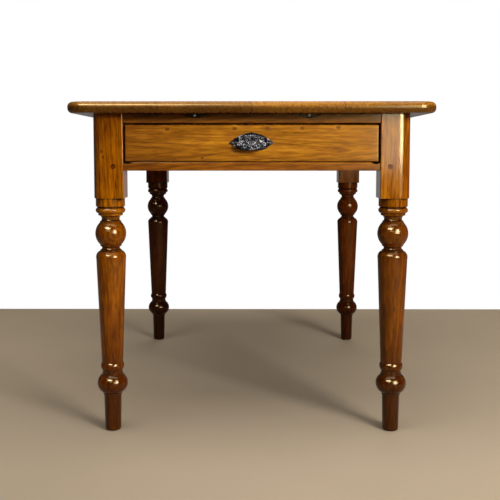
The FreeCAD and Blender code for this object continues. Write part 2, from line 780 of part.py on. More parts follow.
def glue_blocks(label):
    """Blocks rubbed into the corner between the top and the side aprons, evenly spaced behind the kickers."""
    count = GLUE_BLOCKS_PER_SIDE
    size = ("glue_block_size", "glue_block_length", "glue_block_size")
    gap = f"(({BETWEEN_LEGS} - {RUNNER_END} - {count} * glue_block_length) / {count + 1})"
    blocks = []
    for number in range(count):
        start = f"{RUNNER_END} + {gap} + {number} * ({gap} + glue_block_length)"
        corner = (f"-{APRON_INSIDE}", start, f"{UNDERSIDE} - glue_block_size")
        blocks.append(loose_box("block", corner, size))
    return both_sides(label, blocks)


def strip_nails(label, level):
    outline = fastener_outline(label, "nail", NAIL_LENGTH)
    return both_sides(label, [fastener(outline, spot, AGAINST_X) for spot in nail_spots(level)])


# Top

def top_screws(label):
    """The slanted screws in both rails' pockets and the upright ones in the kickers."""
    outline = fastener_outline(label, "screw", "screw_length", domed=True)
    slanted = [fastener(outline, spot, SLANT) for spot in pocket_screw_spots("screw_head_height")]
    upright = group(f"{label}_left", [fastener(outline, spot, UPRIGHT) for spot in kicker_screw_spots()])
    return group(label, [*slanted, upright, mirrored(upright, f"{label}_right")])


def top_screw_holes():
    """Everything that the screws clear in the top."""
    radius = "screw_diameter / 2 + hole_clearance"
    depth = "screw_length + hole_clearance"
    slanted = [loose_rod("screw_hole", spot, SLANT, radius, depth) for spot in pocket_screw_spots()]
    heads = [(across, along, f"{level} + screw_head_height") for across, along, level in kicker_screw_spots()]
    upright = group("kicker_holes", [loose_rod("screw_hole", spot, UPRIGHT, radius, depth) for spot in heads])
    return group("top_screw_holes", [*slanted, upright, mirrored(upright, "kicker_holes_right")])


def top_boards():
    """The top as one rounded slab, drilled and then parted into its boards."""
    slab = new_body("slab")
    corner = ("-top_width / 2", "-top_length / 2", UNDERSIDE)
    box(slab, "Additive", corner, ("top_width", "top_length", "top_thickness"), "planks")
    round_edges(slab, "top_corner_radius", is_upright, "plan_corners")
    round_edges(slab, f"min(top_edge_round; {ROUND_LIMIT} * top_thickness)", is_level, "edge")
    drilled = feature("Cut", "drilled_slab", Base=slab, Tool=top_screw_holes())
    boards = []
    for number in range(TOP_BOARDS):
        start = f"-top_width / 2 + top_width * {number / TOP_BOARDS}"
        size = (f"top_width / {TOP_BOARDS}", "top_length", "top_thickness")
        strip = loose_box(f"board_strip_{number + 1}", (start, "-top_length / 2", UNDERSIDE), size)
        boards.append(feature("Common", f"top_board_{number + 1}", Base=drilled, Tool=strip))
    return boards


# Drawer

def tail_row(piece, kind, start, end_first, length):
    """The dovetails at one end of the left-hand drawer side, or their sockets, widest at the outside."""
    pitch = f"(({DRAWER_SIDE_HEIGHT} - 2 * tail_margin) / {TAILS})"
    wide = f"({pitch} - tail_gap)"
    narrow = f"({wide} - 2 * tail_flare)"
    heights = (wide, narrow) if end_first else (narrow, wide)
    widths = ("drawer_side_thickness", "drawer_side_thickness")
    for number in range(TAILS):
        middle = f"{DRAWER_FOOT} + tail_margin + {pitch} * {number + 0.5}"
        spot = (f"-{DRAWER_HALF} + drawer_side_thickness / 2", start, middle)
        wedge(piece, kind, spot, UPRIGHT, widths, heights, length, "tail")


def front_tails(piece, kind):
    length = "(drawer_front_thickness - tail_lap)"
    tail_row(piece, kind, f"{DRAWER_FRONT_BACK} - {length}", True, length)


def back_tails(piece, kind):
    tail_row(piece, kind, DRAWER_BACK_FRONT, False, "drawer_back_thickness")


def whole_of(piece, label):
    """A piece that is alike on both sides: its left half joined to its mirror image."""
    halves = [piece, mirrored(piece, f"{label}_right_half")]
    return feature("MultiFuse", label, Shapes=halves, Refine=True)


def drawer_front(label):
    """The drawer front, socketed for the sides, grooved for the bottom and drilled for the handle."""
    board = new_body(f"{label}_left_half")
    height = f"{DRAWER_FRONT_TOP} - {DRAWER_FRONT_FOOT}"
    corner = (f"-{DRAWER_HALF}", DRAWER_FACE, DRAWER_FRONT_FOOT)
    box(board, "Additive", corner, (DRAWER_HALF, "drawer_front_thickness", height), "board")
    face = value(DRAWER_FACE)
    round_edges(board, "drawer_front_ease", lambda edge: is_in_front(edge, face)
                and edge.CenterOfMass.x < -TINY, "eased_front")
    front_tails(board, "Subtractive")
    groove_half = f"({DRAWER_INSIDE} + drawer_groove)"
    corner = (f"-{groove_half}", f"{DRAWER_FRONT_BACK} - drawer_groove", BOTTOM_UNDERSIDE)
    box(board, "Subtractive", corner, (groove_half, "drawer_groove", "drawer_bottom_thickness"), "groove")
    spot = (f"-{HANDLE_SCREW_X}", DRAWER_FACE, HANDLE_SCREW_LEVEL)
    hole(board, spot, ALONG_Y, "handle_screw_diameter / 2 + hole_clearance", "handle_screw_length")
    return whole_of(board, label)


def drawer_side(label):
    """The left-hand drawer side, dovetailed at both ends and grooved for the bottom."""
    side = new_body(label)
    corner = (f"-{DRAWER_HALF}", DRAWER_FRONT_BACK, DRAWER_FOOT)
    size = ("drawer_side_thickness", f"{DRAWER_BACK_FRONT} - {DRAWER_FRONT_BACK}", DRAWER_SIDE_HEIGHT)
    box(side, "Additive", corner, size, "board")
    front_tails(side, "Additive")
    back_tails(side, "Additive")
    groove_floor = f"-{DRAWER_INSIDE} - drawer_groove"
    corner = (groove_floor, DRAWER_FACE, BOTTOM_UNDERSIDE)
    box(side, "Subtractive", corner, ("drawer_groove", "drawer_length", "drawer_bottom_thickness"), "groove")
    return side


def drawer_back(label):
    """The drawer back, which stands on the bottom boards between the sides' dovetails."""
    board = new_body(f"{label}_left_half")
    corner = (f"-{DRAWER_HALF}", DRAWER_BACK_FRONT, BOTTOM_UPPER)
    box(board, "Additive", corner, (DRAWER_HALF, "drawer_back_thickness", DRAWER_BACK_HEIGHT), "board")
    back_tails(board, "Subtractive")
    for across, along, level in pin_spots():
        if value(across) < 0:
            hole(board, (across, along, level), UPRIGHT, "pin_diameter / 2 + hole_clearance", PIN_DEPTH)
    return whole_of(board, label)


PIN_LENGTH = "(drawer_bottom_thickness - pin_head_height + pin_bite)"
PIN_DEPTH = "(drawer_bottom_thickness + pin_bite + hole_clearance)"


def pin_spots():
    """The heads of the nails that go up through the last bottom board into the drawer back."""
    along = f"{DRAWER_BACK_FRONT} + drawer_back_thickness / 2"
    shares = [2 * step / (BOTTOM_PINS - 1) - 1 for step in range(BOTTOM_PINS)]
    return [(f"{share} * ({DRAWER_INSIDE} - pin_inset)", along, BOTTOM_UNDERSIDE) for share in shares]


def bottom_pins(label):
    outline = fastener_outline(label, "pin", PIN_LENGTH)
    return group(label, [fastener(outline, spot, UPRIGHT) for spot in pin_spots()])


def drawer_bottom_board(number):
    """One of the boards that lie across the drawer in its grooves, counted from the front."""
    board = new_body(f"drawer_bottom_board_{number + 1}")
    first = f"({DRAWER_FRONT_BACK} - drawer_groove + drawer_bottom_play)"
    width = f"(({DRAWER_END} - {first}) / {BOTTOM_BOARDS})"
    half = f"({DRAWER_INSIDE} + drawer_groove - drawer_bottom_play)"
    corner = (f"-{half}", f"{first} + {number} * {width}", BOTTOM_UNDERSIDE)
    box(board, "Additive", corner, (f"2 * {half}", width, "drawer_bottom_thickness"), "board")
    if number == BOTTOM_BOARDS - 1:
        for spot in pin_spots():
            fastener_hole(board, "pin", spot, UPRIGHT, PIN_DEPTH, "pin_head_height")
    return board


# Cup handle

def cup_form(label, wall):
    """The cup as a full form, smaller all round by a wall, with its flat back on the drawer front."""
    form = new_body(label)
    reach = f"(cup_reach - {wall})"
    width = f"(cup_width - 2 * {wall})"
    height = f"(cup_height - {wall})"
    outline = body_sketch(form, "YZ_Plane", f"{label}_outline", [
        ("0", height, dome_swell(reach, f"{height} - cup_lip")),
        (reach, "cup_lip", ""),
        (reach, "0", ""),
        ("0", "0", ""),
    ])
    pad = form.newObject("PartDesign::Pad", f"{label}_pad")
    pad.Profile = outline
    pad.SideType = "Symmetric"
    bind(pad, Length=width)
    half = value(width) / 2
    round_edges(form, f"cup_end_round - {wall}", lambda edge: abs(edge.CenterOfMass.x) > half - TINY
                and edge.CenterOfMass.y > TINY and not is_level(edge), f"{label}_ends")
    place(form, ("0", DRAWER_FACE, HANDLE_FOOT), Rotation(Vector(0, 0, 1), 180))
    return form


def add_handle_plate(cup):
    """Add the plate behind the cup, pointed at both ends and arched between, and drill it for screws."""
    outline = body_sketch(cup, "XZ_Plane", "plate_outline", [
        ("0", "handle_plate_drop", "handle_plate_rise"),
        (PLATE_WIDTH, "handle_plate_drop", "handle_plate_drop"),
    ])
    outline.setExpression("AttachmentOffset.Base.x", cells(f"-{PLATE_WIDTH} / 2"))
    plate = cup.newObject("PartDesign::Pad", "plate")
    plate.Profile = outline
    plate.Reversed = True
    bind(plate, Length="handle_plate_thickness")
    for sign in ("-", ""):
        spot = (f"{sign}{HANDLE_SCREW_X}", "0", "handle_plate_drop")
        hole(cup, spot, ALONG_Y, "handle_screw_diameter / 2 + hole_clearance", "handle_plate_thickness")


def cup_handle(label):
    """A hollow cup, open below, on a pointed plate."""
    cup = cup_form("cup", "0")
    add_handle_plate(cup)
    return feature("Cut", label, Base=cup, Tool=cup_form("cup_hollow", "cup_wall"))


def handle_screws(label):
    outline = fastener_outline(label, "handle_screw", "handle_screw_length", domed=True)
    outside = f"{DRAWER_FACE} - handle_plate_thickness - handle_screw_head_height"
    spots = [(f"{sign}{HANDLE_SCREW_X}", outside, HANDLE_SCREW_LEVEL) for sign in ("-", "")]
    return group(label, [fastener(outline, spot, ALONG_Y) for spot in spots])


# The whole table

def build_table():
    """Every piece of the table, each an object whose label names it."""
    pieces = top_boards()
    for make, name in [
        (front_leg, "leg_front"),
        (back_leg, "leg_back"),
        (side_apron, "side_apron"),
        (runner, "drawer_runner"),
        (guide, "drawer_guide"),
        (kicker, "drawer_kicker"),
        (drawer_side, "drawer_side"),
    ]:
        left = make(f"{name}_left")
        pieces += [left, mirrored(left, f"{name}_right")]
    pieces += [
        far_apron("far_apron"),
        top_rail("drawer_top_rail"),
        bottom_rail("drawer_bottom_rail"),
        rail_pegs("rail_pegs"),
        side_apron_pegs("side_apron_pegs"),
        far_apron_pegs("far_apron_pegs"),
        drawer_stops("drawer_stops"),
        glue_blocks("glue_blocks"),
        strip_nails("runner_nails", RUNNER_LEVEL),
        strip_nails("kicker_nails", KICKER_LEVEL),
        top_screws("top_screws"),
        drawer_front("drawer_front"),
        drawer_back("drawer_back"),
        *[drawer_bottom_board(number) for number in range(BOTTOM_BOARDS)],
        bottom_pins("drawer_bottom_nails"),
        cup_handle("cup_handle"),
        handle_screws("handle_screws"),
    ]
    return pieces


def write_parts(pieces):
    """Check every object, then write each piece to a file of its own name."""
    doc.recompute()
    failed = [item.Label for item in doc.Objects if {"Invalid", "Error"} & set(item.State)]
    bad = [piece.Label for piece in pieces if piece.Shape.isNull() or not piece.Shape.isValid()]
    if failed or bad:
        raise RuntimeError(f"failed objects: {failed}, bad shapes: {bad}")
    os.makedirs("parts", exist_ok=True)
    for piece in pieces:
        solids = piece.Shape.Solids
        whole = solids[0] if len(solids) == 1 else Part.makeCompound(solids)
        whole.exportStep(f"parts/{piece.Label}.step")
        print(piece.Label, len(solids), "solid(s),", round(whole.Volume / 1000, 2), "cm3")


write_parts(build_table())
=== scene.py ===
# %% [markdown]
# A farmhouse kitchen table in waxed pine, seen from its drawer end. Its shapes could be modelled here
# from nothing, but the joiner's model already gives every piece its true size and place. So the script
# loads that model and adds what it lacks: grain, wax, worn iron and light. Two pieces are modelled
# again, because their looks need finer forms. Everything is in metres. X runs across the table, Y away
# from the viewer and Z up.

# %% Load the joiner's model
import math

import bmesh
import bpy
from mathutils import Matrix, Vector


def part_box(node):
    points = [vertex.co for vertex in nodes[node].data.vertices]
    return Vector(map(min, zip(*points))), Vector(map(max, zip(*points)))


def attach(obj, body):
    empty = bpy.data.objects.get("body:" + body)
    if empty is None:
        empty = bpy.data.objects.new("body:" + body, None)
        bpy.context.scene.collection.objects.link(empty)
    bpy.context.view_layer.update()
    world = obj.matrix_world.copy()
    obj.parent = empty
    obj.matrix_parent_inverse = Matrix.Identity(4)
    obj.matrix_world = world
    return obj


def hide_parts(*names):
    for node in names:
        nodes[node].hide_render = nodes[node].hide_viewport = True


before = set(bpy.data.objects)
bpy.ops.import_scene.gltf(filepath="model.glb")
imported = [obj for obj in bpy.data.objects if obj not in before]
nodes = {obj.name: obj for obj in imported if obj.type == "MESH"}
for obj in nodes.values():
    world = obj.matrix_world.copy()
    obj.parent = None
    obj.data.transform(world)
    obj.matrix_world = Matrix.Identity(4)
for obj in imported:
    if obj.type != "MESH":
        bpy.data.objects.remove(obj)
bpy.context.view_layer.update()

# %% [markdown]
# The camera comes first, because every later choice is judged through it. It stands square to the drawer
# end with its eye at 652 mm, a hand below the top, and looks down a little. It could be tilted until the
# feet are in the frame, but then the legs would lean together. So the rest is done by a small downward
# shift, as in a view camera.

# %% Camera
EYE = Vector((0.007, -2.407, 0.652))
LOOK_DOWN = math.radians(4.57)
LOOK_LEFT = 0.0056
LENS = 60.6
SHIFT_DOWN = 0.064

camera_data = bpy.data.cameras.new("camera")
camera_data.lens = LENS
camera_data.shift_y = -SHIFT_DOWN
camera = bpy.data.objects.new("camera", camera_data)
camera.location = EYE
camera.rotation_euler = (math.pi / 2 - LOOK_DOWN, 0, LOOK_LEFT)
scene = bpy.context.scene
scene.collection.objects.link(camera)
scene.camera = camera
scene.view_settings.view_transform = "Standard"
print("camera at", tuple(round(v, 3) for v in camera.location))

# %% [markdown]
# A finish in Blender is a tree of nodes. Wiring one by hand takes many lines, and they hide what the
# tree does, so small helpers stand for the steps that come back. The first adds a node, sets its options
# and fills its inputs, each from another node's output or with a plain value. The second starts a
# material.

# %% Node helpers
def add_node(tree, kind, inputs=None, **settings):
    """Add a node, set its options, and join or fill its inputs."""
    node = tree.nodes.new(f"ShaderNode{kind}")
    for name, choice in settings.items():
        setattr(node, name, choice)
    for name, source in (inputs or {}).items():
        if isinstance(source, bpy.types.NodeSocket):
            tree.links.new(source, node.inputs[name])
        else:
            node.inputs[name].default_value = source
    return node


def new_material(name):
    """A material with only an output and a principled shader."""
    material = bpy.data.materials.new(name)
    material.use_nodes = True
    tree = material.node_tree
    tree.nodes.clear()
    shader = tree.nodes.new("ShaderNodeBsdfPrincipled")
    output = tree.nodes.new("ShaderNodeOutputMaterial")
    tree.links.new(shader.outputs[0], output.inputs[0])
    return material, tree, shader


print("kinds of shader node:", sum(name.startswith("ShaderNode") for name in dir(bpy.types)))

# %% [markdown]
# The floor is a plain pale sheet that ends behind the table, where a wall would start. It could be a
# sweep that curves up without an edge, but a straight edge gives the view its horizon. A slow noise
# keeps its colour from being flat, and it is rough, so that it mirrors nothing.

# %% Floor
FLOOR_EDGE = 1.03
FLOOR_HALF = 4.0
FLOOR_COLOUR = (0.39, 0.30, 0.198, 1)
FLOOR_SHADE = (0.35, 0.27, 0.178, 1)
FLOOR_MOTTLE = {"Scale": 3.0, "Detail": 4.0}
FLOOR_ROUGHNESS = 0.9
FLOOR_SHINE = 0.2

# A Mix node has sockets for every kind of data, and these are the ones for colours.
MIX_SHARE, MIX_FIRST, MIX_SECOND, MIX_RESULT = 0, 6, 7, 2


def blend(tree, share, first, second, kind="MIX"):
    """Blend two colours by a share."""
    inputs = {MIX_SHARE: share, MIX_FIRST: first, MIX_SECOND: second}
    return add_node(tree, "Mix", inputs, data_type="RGBA", blend_type=kind).outputs[MIX_RESULT]


def pale_floor():
    material, tree, shader = new_material("pale_floor")
    where = add_node(tree, "TexCoord").outputs["Object"]
    mottle = add_node(tree, "TexNoise", {"Vector": where, **FLOOR_MOTTLE}).outputs[0]
    tree.links.new(blend(tree, mottle, FLOOR_COLOUR, FLOOR_SHADE), shader.inputs["Base Color"])
    shader.inputs["Roughness"].default_value = FLOOR_ROUGHNESS
    shader.inputs["Specular IOR Level"].default_value = FLOOR_SHINE
    return material


def make_floor():
    mesh = bpy.data.meshes.new("floor")
    bm = bmesh.new()
    bmesh.ops.create_grid(bm, x_segments=1, y_segments=1, size=FLOOR_HALF)
    bmesh.ops.translate(bm, verts=bm.verts, vec=(0, FLOOR_EDGE - FLOOR_HALF, 0))
    bm.to_mesh(mesh)
    bm.free()
    mesh.materials.append(pale_floor())
    floor = bpy.data.objects.new("floor", mesh)
    scene.collection.objects.link(floor)


make_floor()
print("floor ends at y =", FLOOR_EDGE)

# %% [markdown]
# Behind the table is a white wall in a dim room. A lit sheet could stand there, but its light would fall
# on the wood too. So the world is the wall, and it answers by the kind of ray: white to the camera, a
# soft white behind the table in the polish, and for everything else only a faint fill.

# %% World
WHITE = (1, 1, 1, 1)
FILL = 0.06
WALL_CONE = (0.85, 0.99)
WALL_IN_WAX = 0.3


def sums(tree, operation, first, second=0.0):
    """One sum on numbers."""
    return add_node(tree, "Math", {0: first, 1: second}, operation=operation).outputs[0]


def stretch(tree, source, low, high, to_low=0.0, to_high=1.0):
    """Bring a range of numbers to another range, held at its ends."""
    inputs = {"Value": source, "From Min": low, "From Max": high, "To Min": to_low, "To Max": to_high}
    return add_node(tree, "MapRange", inputs).outputs[0]


def make_world():
    world = bpy.data.worlds.new("studio")
    scene.world = world
    world.use_nodes = True
    tree = world.node_tree
    tree.nodes.clear()
    path = add_node(tree, "LightPath").outputs
    heading = add_node(tree, "TexCoord").outputs["Generated"]
    away = add_node(tree, "SeparateXYZ", {0: heading}).outputs["Y"]
    wall = stretch(tree, away, *WALL_CONE, 0.0, WALL_IN_WAX)
    seen = sums(tree, "MAXIMUM", path["Is Camera Ray"], path["Is Transmission Ray"])
    seen = sums(tree, "MAXIMUM", seen, sums(tree, "MULTIPLY", path["Is Glossy Ray"], wall))
    fill = add_node(tree, "Background", {"Color": WHITE, "Strength": FILL}).outputs[0]
    white = add_node(tree, "Background", {"Color": WHITE, "Strength": 1.0}).outputs[0]
    both = add_node(tree, "MixShader", {0: seen, 1: fill, 2: white}).outputs[0]
    add_node(tree, "OutputWorld", {"Surface": both})


make_world()
print("world has", len(scene.world.node_tree.nodes), "nodes")

# %% [markdown]
# Three softboxes light the wood. The key stands in front on the right, so the left side of each turning
# falls into shade. A broad one overhead lights the top, and a weak one behind keeps the far end from
# going black. One strong lamp could do it, but its mirror image would burn out in the polish. So the key
# and the one behind give light without being mirrored.

# %% Softboxes
def softbox(name, place, aim, size, watts, diffuse=True, glossy=True):
    """A lamp that lights surfaces if it is diffuse, and shows in polish if it is glossy."""
    lamp = bpy.data.lights.new(name, "AREA")
    lamp.shape = "RECTANGLE"
    lamp.size, lamp.size_y = size
    lamp.energy = watts
    light = bpy.data.objects.new(name, lamp)
    light.location = place
    light.rotation_euler = (Vector(aim) - Vector(place)).to_track_quat("-Z", "Y").to_euler()
    light.visible_camera = False
    light.visible_diffuse = diffuse
    light.visible_glossy = glossy
    scene.collection.objects.link(light)
    print(name, watts, "W")


# Each lamp's name, place, aim, size and watts.
softbox("key_right", (1.70, -2.65, 1.25), (0.1, -0.45, 0.55), (0.9, 0.5), 99, glossy=False)
softbox("overhead", (0, -0.8, 2.8), (0, 0.1, 0.6), (2.8, 1.6), 60)
softbox("back_fill", (0.5, 2.8, 1.6), (0, 0.3, 0.4), (2.0, 1.2), 24, glossy=False)

# %% [markdown]
# Polish shows what stands round the table, and here that is windows: the bright sparks on the turnings
# are their mirror images. Lamps that light the wood as well could not be placed for the sparks alone. So
# these four are seen only in the polish: a tall one on the right and a small one beside it, a broad one
# high on the left, and a thin strip in front that draws a line on the rounded edges.

# %% Windows in the polish
softbox("window_right", (1.62, -2.7, 1.25), (0.2, -0.45, 0.6), (0.9, 1.4), 190, diffuse=False)
softbox("window_front", (0.92, -3.0, 0.95), (0.2, -0.45, 0.6), (0.55, 0.8), 17, diffuse=False)
softbox("window_left", (-1.4, -3.36, 3.08), (-0.3, -0.45, 0.5), (2.2, 0.9), 340, diffuse=False)
softbox("front_strip", (-0.6, -3.0, 1.42), (-0.1, -0.5, 0.7), (1.4, 0.12), 10, diffuse=False)

# %% [markdown]
# Pine is sawn from a log, so its figure is the log's growth rings cut by the faces of a board. A picture
# of wood could be wrapped round each piece, but its lines would not meet at the corners. A pattern in
# space does meet there: rings round a pith that runs along Z give arcs on the end grain and long flames
# on the faces. In each ring the wood darkens slowly and then stops sharply, where a winter came.

# %% Noise along the grain
# For the noise that makes the rings wander: the share of the way along the grain, the scale and the detail.
WANDER_NOISE = (0.1, 9.0, 2.0)


def move(tree, operation, first, second=(0, 0, 0)):
    """One sum on vectors."""
    return add_node(tree, "VectorMath", {0: first, 1: second}, operation=operation).outputs[0]


def length(tree, vector):
    """How long a vector is."""
    return add_node(tree, "VectorMath", {0: vector}, operation="LENGTH").outputs["Value"]


def drawn_noise(tree, where, length_share, scale, detail):
    """Noise drawn out along the grain, by keeping only a share of the way along it."""
    squeezed = move(tree, "MULTIPLY", where, (1, 1, length_share))
    return add_node(tree, "TexNoise", {"Vector": squeezed, "Scale": scale, "Detail": detail}).outputs


print("the rings' noise is drawn out", round(1 / WANDER_NOISE[0]), "times along the grain")

# %% Growth rings
RING_WIDTH = 0.0046
RING_UNEVEN = 2.4
UNEVEN_NOISE = {"Scale": 70.0, "Detail": 1.0}
WANDER = (0.022, 0.022, 0)
# How dark the wood is at both ends of a ring, and at some places between them.
RING_ENDS = 0.05
RING_STEPS = ((0.5, 0.2), (0.86, 1.0), (0.94, 0.7))


def growth_rings(tree, where):
    """How dark the ring is at each place, for rings that wander a little and differ in width."""
    wander = drawn_noise(tree, where, *WANDER_NOISE)["Color"]
    wander = move(tree, "SUBTRACT", wander, (0.5, 0.5, 0.5))
    bent = move(tree, "ADD", where, move(tree, "MULTIPLY", wander, WANDER))
    radius = length(tree, move(tree, "MULTIPLY", bent, (1, 1, 0)))
    uneven = add_node(tree, "TexNoise", {"W": radius, **UNEVEN_NOISE}, noise_dimensions="1D").outputs[0]
    count = sums(tree, "DIVIDE", radius, RING_WIDTH)
    count = sums(tree, "ADD", count, sums(tree, "MULTIPLY", uneven, RING_UNEVEN))
    ramp = add_node(tree, "ValToRGB", {"Fac": sums(tree, "FRACT", count)})
    steps = ramp.color_ramp.elements
    for end in (steps[0], steps[1]):
        end.color = (RING_ENDS, RING_ENDS, RING_ENDS, 1)
    for place, grey in RING_STEPS:
        steps.new(place).color = (grey, grey, grey, 1)
    return ramp.outputs[0]


print("rings are about", RING_WIDTH * 1000, "mm wide")

# %% [markdown]
# Between the rings lie finer marks: streaks, fibres, short dark flecks, and slow clouds and patches of
# tone. Each could be scratched or painted in, but noise does it all if it is drawn out along the pith.
# The rings and these marks go into one node group, so that every piece shares the same wood and only
# says where its pith lay.

# %% The figure of pine
# For each mark: the share of the way along the grain, the scale, the detail, and the range that is kept.
FIGURE_NOISES = {
    "Streak": (0.025, 130.0, 6.0, 0.3, 0.7),
    "Fibre": (0.012, 1300.0, 2.0, 0.3, 0.7),
    "Fleck": (0.06, 480.0, 1.0, 0.62, 0.76),
    "Cloud": (0.3, 8.0, 3.0, 0.32, 0.68),
    "Patch": (0.14, 170.0, 6.0, 0.4, 0.6),
}


def make_figure_group():
    group = bpy.data.node_groups.new("pine_figure", "ShaderNodeTree")
    group.interface.new_socket("Vector", in_out="INPUT", socket_type="NodeSocketVector")
    for name in ("Ring", *FIGURE_NOISES):
        group.interface.new_socket(name, in_out="OUTPUT", socket_type="NodeSocketFloat")
    where = group.nodes.new("NodeGroupInput").outputs[0]
    out = group.nodes.new("NodeGroupOutput")
    group.links.new(growth_rings(group, where), out.inputs["Ring"])
    for name, (length_share, scale, detail, low, high) in FIGURE_NOISES.items():
        noise = drawn_noise(group, where, length_share, scale, detail)[0]
        group.links.new(stretch(group, noise, low, high), out.inputs[name])
    return group


figure_group = make_figure_group()
print("figure sockets:", [item.name for item in figure_group.interface.items_tree])

# %% [markdown]
# A board's grain runs along X, Y or Z, and its log never stood quite straight. The pattern could be
# turned by unwrapping each board, but moving its coordinates is enough: away from the pith, back by the
# lean of the log, and round until the grain's axis is the pattern's Z.

# %% The pith of a piece
GRAIN_TURNS = {"X": (0, math.pi / 2, 0), "Y": (math.pi / 2, 0, 0), "Z": (0, 0, 0)}
GRAIN_AXES = {"X": Vector((1, 0, 0)), "Y": Vector((0, 1, 0)), "Z": Vector((0, 0, 1))}
ALL_AXES = Vector((1, 1, 1))


def scaled(tree, vector, size):
    """A vector made longer or shorter by a number."""
    return add_node(tree, "VectorMath", {0: vector, "Scale": size}, operation="SCALE").outputs[0]


def dot(tree, first, second):
    """How far one vector runs along another."""
    return add_node(tree, "VectorMath", {0: first, 1: second}, operation="DOT_PRODUCT").outputs["Value"]


def pine_figure(tree, where, grain, pith, lean):
    """The outputs of the pine figure for a pith at a point, which leans away from the grain's axis."""
    from_pith = move(tree, "SUBTRACT", where, pith)
    drift = scaled(tree, lean, dot(tree, from_pith, GRAIN_AXES[grain]))
    from_pith = move(tree, "SUBTRACT", from_pith, drift)
    along = add_node(tree, "Mapping", {"Vector": from_pith, "Rotation": GRAIN_TURNS[grain]}).outputs[0]
    return add_node(tree, "Group", {0: along}, node_tree=figure_group).outputs


print("grain can run along", ", ".join(GRAIN_TURNS))

# %% [markdown]
# A knot is a branch that the trunk grew round. On a face it is a dark oval with a darker rim, and the
# grain parts to pass it. A dark spot could be painted on, but the grain would run straight through it.
# So near each knot the pattern's coordinates are drawn towards the knot's line, which bends the grain,
# and the distance from its middle gives the oval. Pin holes are made in the same way, but they are too
# small to bend it.

# %% Knots
KNOT_LENGTH = 1.5
KNOT_EDGE = (0.85, 1.1)
PULL = 0.9
PULL_REACH = (0.5, 3.4)
PIN_MARK = 0.0025


def radii_away(tree, away, grain, face, radius):
    """Distance from a knot's middle over a face, counted in the knot's own radii."""
    reach = ALL_AXES * radius + GRAIN_AXES[grain] * radius * (KNOT_LENGTH - 1)
    seen = ALL_AXES - GRAIN_AXES[face]
    scale = [flag / size for flag, size in zip(seen, reach)]
    return length(tree, move(tree, "MULTIPLY", away, scale))


def bend_round_knots(tree, where, grain, knots):
    """The bent position, and the share and depth of knot, for knots given as centre, face and radius."""
    bent, share, depth = where, 0.0, 1.0
    for centre, face, radius in knots:
        away = move(tree, "SUBTRACT", where, centre)
        gone = radii_away(tree, away, grain, face, radius)
        if radius > PIN_MARK:
            pull = stretch(tree, gone, *PULL_REACH, PULL, 0.0)
            sideways = move(tree, "MULTIPLY", away, ALL_AXES - GRAIN_AXES[grain])
            bent = move(tree, "SUBTRACT", bent, scaled(tree, sideways, pull))
        share = sums(tree, "MAXIMUM", stretch(tree, gone, *KNOT_EDGE, 1.0, 0.0), share)
        depth = sums(tree, "MINIMUM", gone, depth)
    return bent, share, depth


print("a knot parts the grain out to", PULL_REACH[1], "of its radii")

# %% [markdown]
# Waxed old pine is honey coloured where light and dusters reach it, and brown elsewhere. One brown could
# be mixed for it, but here the colour is built in layers, as the finish was, so that each can be turned
# up or down on another piece: bare rings first, then streaks, fibres and flecks, then the slow changes
# of tone along a board, and last the knots.

# %% Layers of colour
GRAIN_LINES = {"Streak": (0.72, 1.18), "Fibre": (0.86, 1.1)}
FLECK = (0.035, 0.008, 0.001, 1)
GLOW = (1.06, 1.12, 1.0, 1)
KNOT_HEART = (0.11, 0.030, 0.005, 1)
KNOT_RIM = (0.018, 0.005, 0.002, 1)
KNOT_RIM_FROM = (0.4, 0.95)
KNOT_SHARE = 0.85


def wood_colour(tree, figure, look, faces):
    """Rings, the lines and flecks along them, and the slow changes of tone."""
    colour = blend(tree, figure["Ring"], look["early"], look["late"])
    for layer, (low, high) in GRAIN_LINES.items():
        lines = stretch(tree, figure[layer], 0, 1, low, high)
        colour = blend(tree, faces, colour, blend(tree, 1.0, colour, lines, "MULTIPLY"))
    flecks = sums(tree, "MULTIPLY", sums(tree, "MULTIPLY", figure["Fleck"], look["fleck"]), faces)
    colour = blend(tree, flecks, colour, FLECK)
    for layer, shade in (("Cloud", look["shade"]), ("Patch", look["mottle"])):
        tone = blend(tree, figure[layer], shade, GLOW)
        colour = blend(tree, 1.0, colour, tone, "MULTIPLY")
    return colour


def knot_colour(tree, colour, knot, depth):
    """A brown heart that darkens towards the rim, wherever there is knot."""
    heart = blend(tree, stretch(tree, depth, *KNOT_RIM_FROM), KNOT_HEART, KNOT_RIM)
    return blend(tree, sums(tree, "MULTIPLY", knot, KNOT_SHARE), colour, heart)


print("lines along the grain:", ", ".join(GRAIN_LINES))

# %% [markdown]
# Age and light follow the shape of a piece. End grain drinks more finish, so faces that look along the
# grain are darker. Towards the feet the colour darkens, shades by place paint in shadow under the top and
# shade on faces turned away from the light, pale lines on some edges are painted highlights, and every
# hollow gets dark wax and painted shade. All this could be painted on each mesh by hand, but rules are
# easier to change. A shade is an axis, the places where it starts and ends there, and a tint. Ambient
# occlusion, a measure of how closed in a place is, finds the hollows.

# %% End grain, shades and hollows
END_GRAIN = (0.60, 0.54, 0.48, 1)
END_FACING = (0.5, 0.9)
RAGGED = 0.5
# Dark wax and painted shade, laid wherever ambient occlusion finds a hollow.
WAX_AND_SHADE_IN_HOLLOWS = (0.016, 0.005, 0.002, 1)
HOLLOW_REACH = 0.022
HOLLOW_RANGE = (0.68, 0.91)
HOLLOW_SHARE = 0.97


def end_share(tree, grain):
    """1 where a face looks along the grain, and 0 where it lies along it."""
    facing = add_node(tree, "NewGeometry").outputs["Normal"]
    return stretch(tree, sums(tree, "ABSOLUTE", dot(tree, facing, GRAIN_AXES[grain])), *END_FACING)


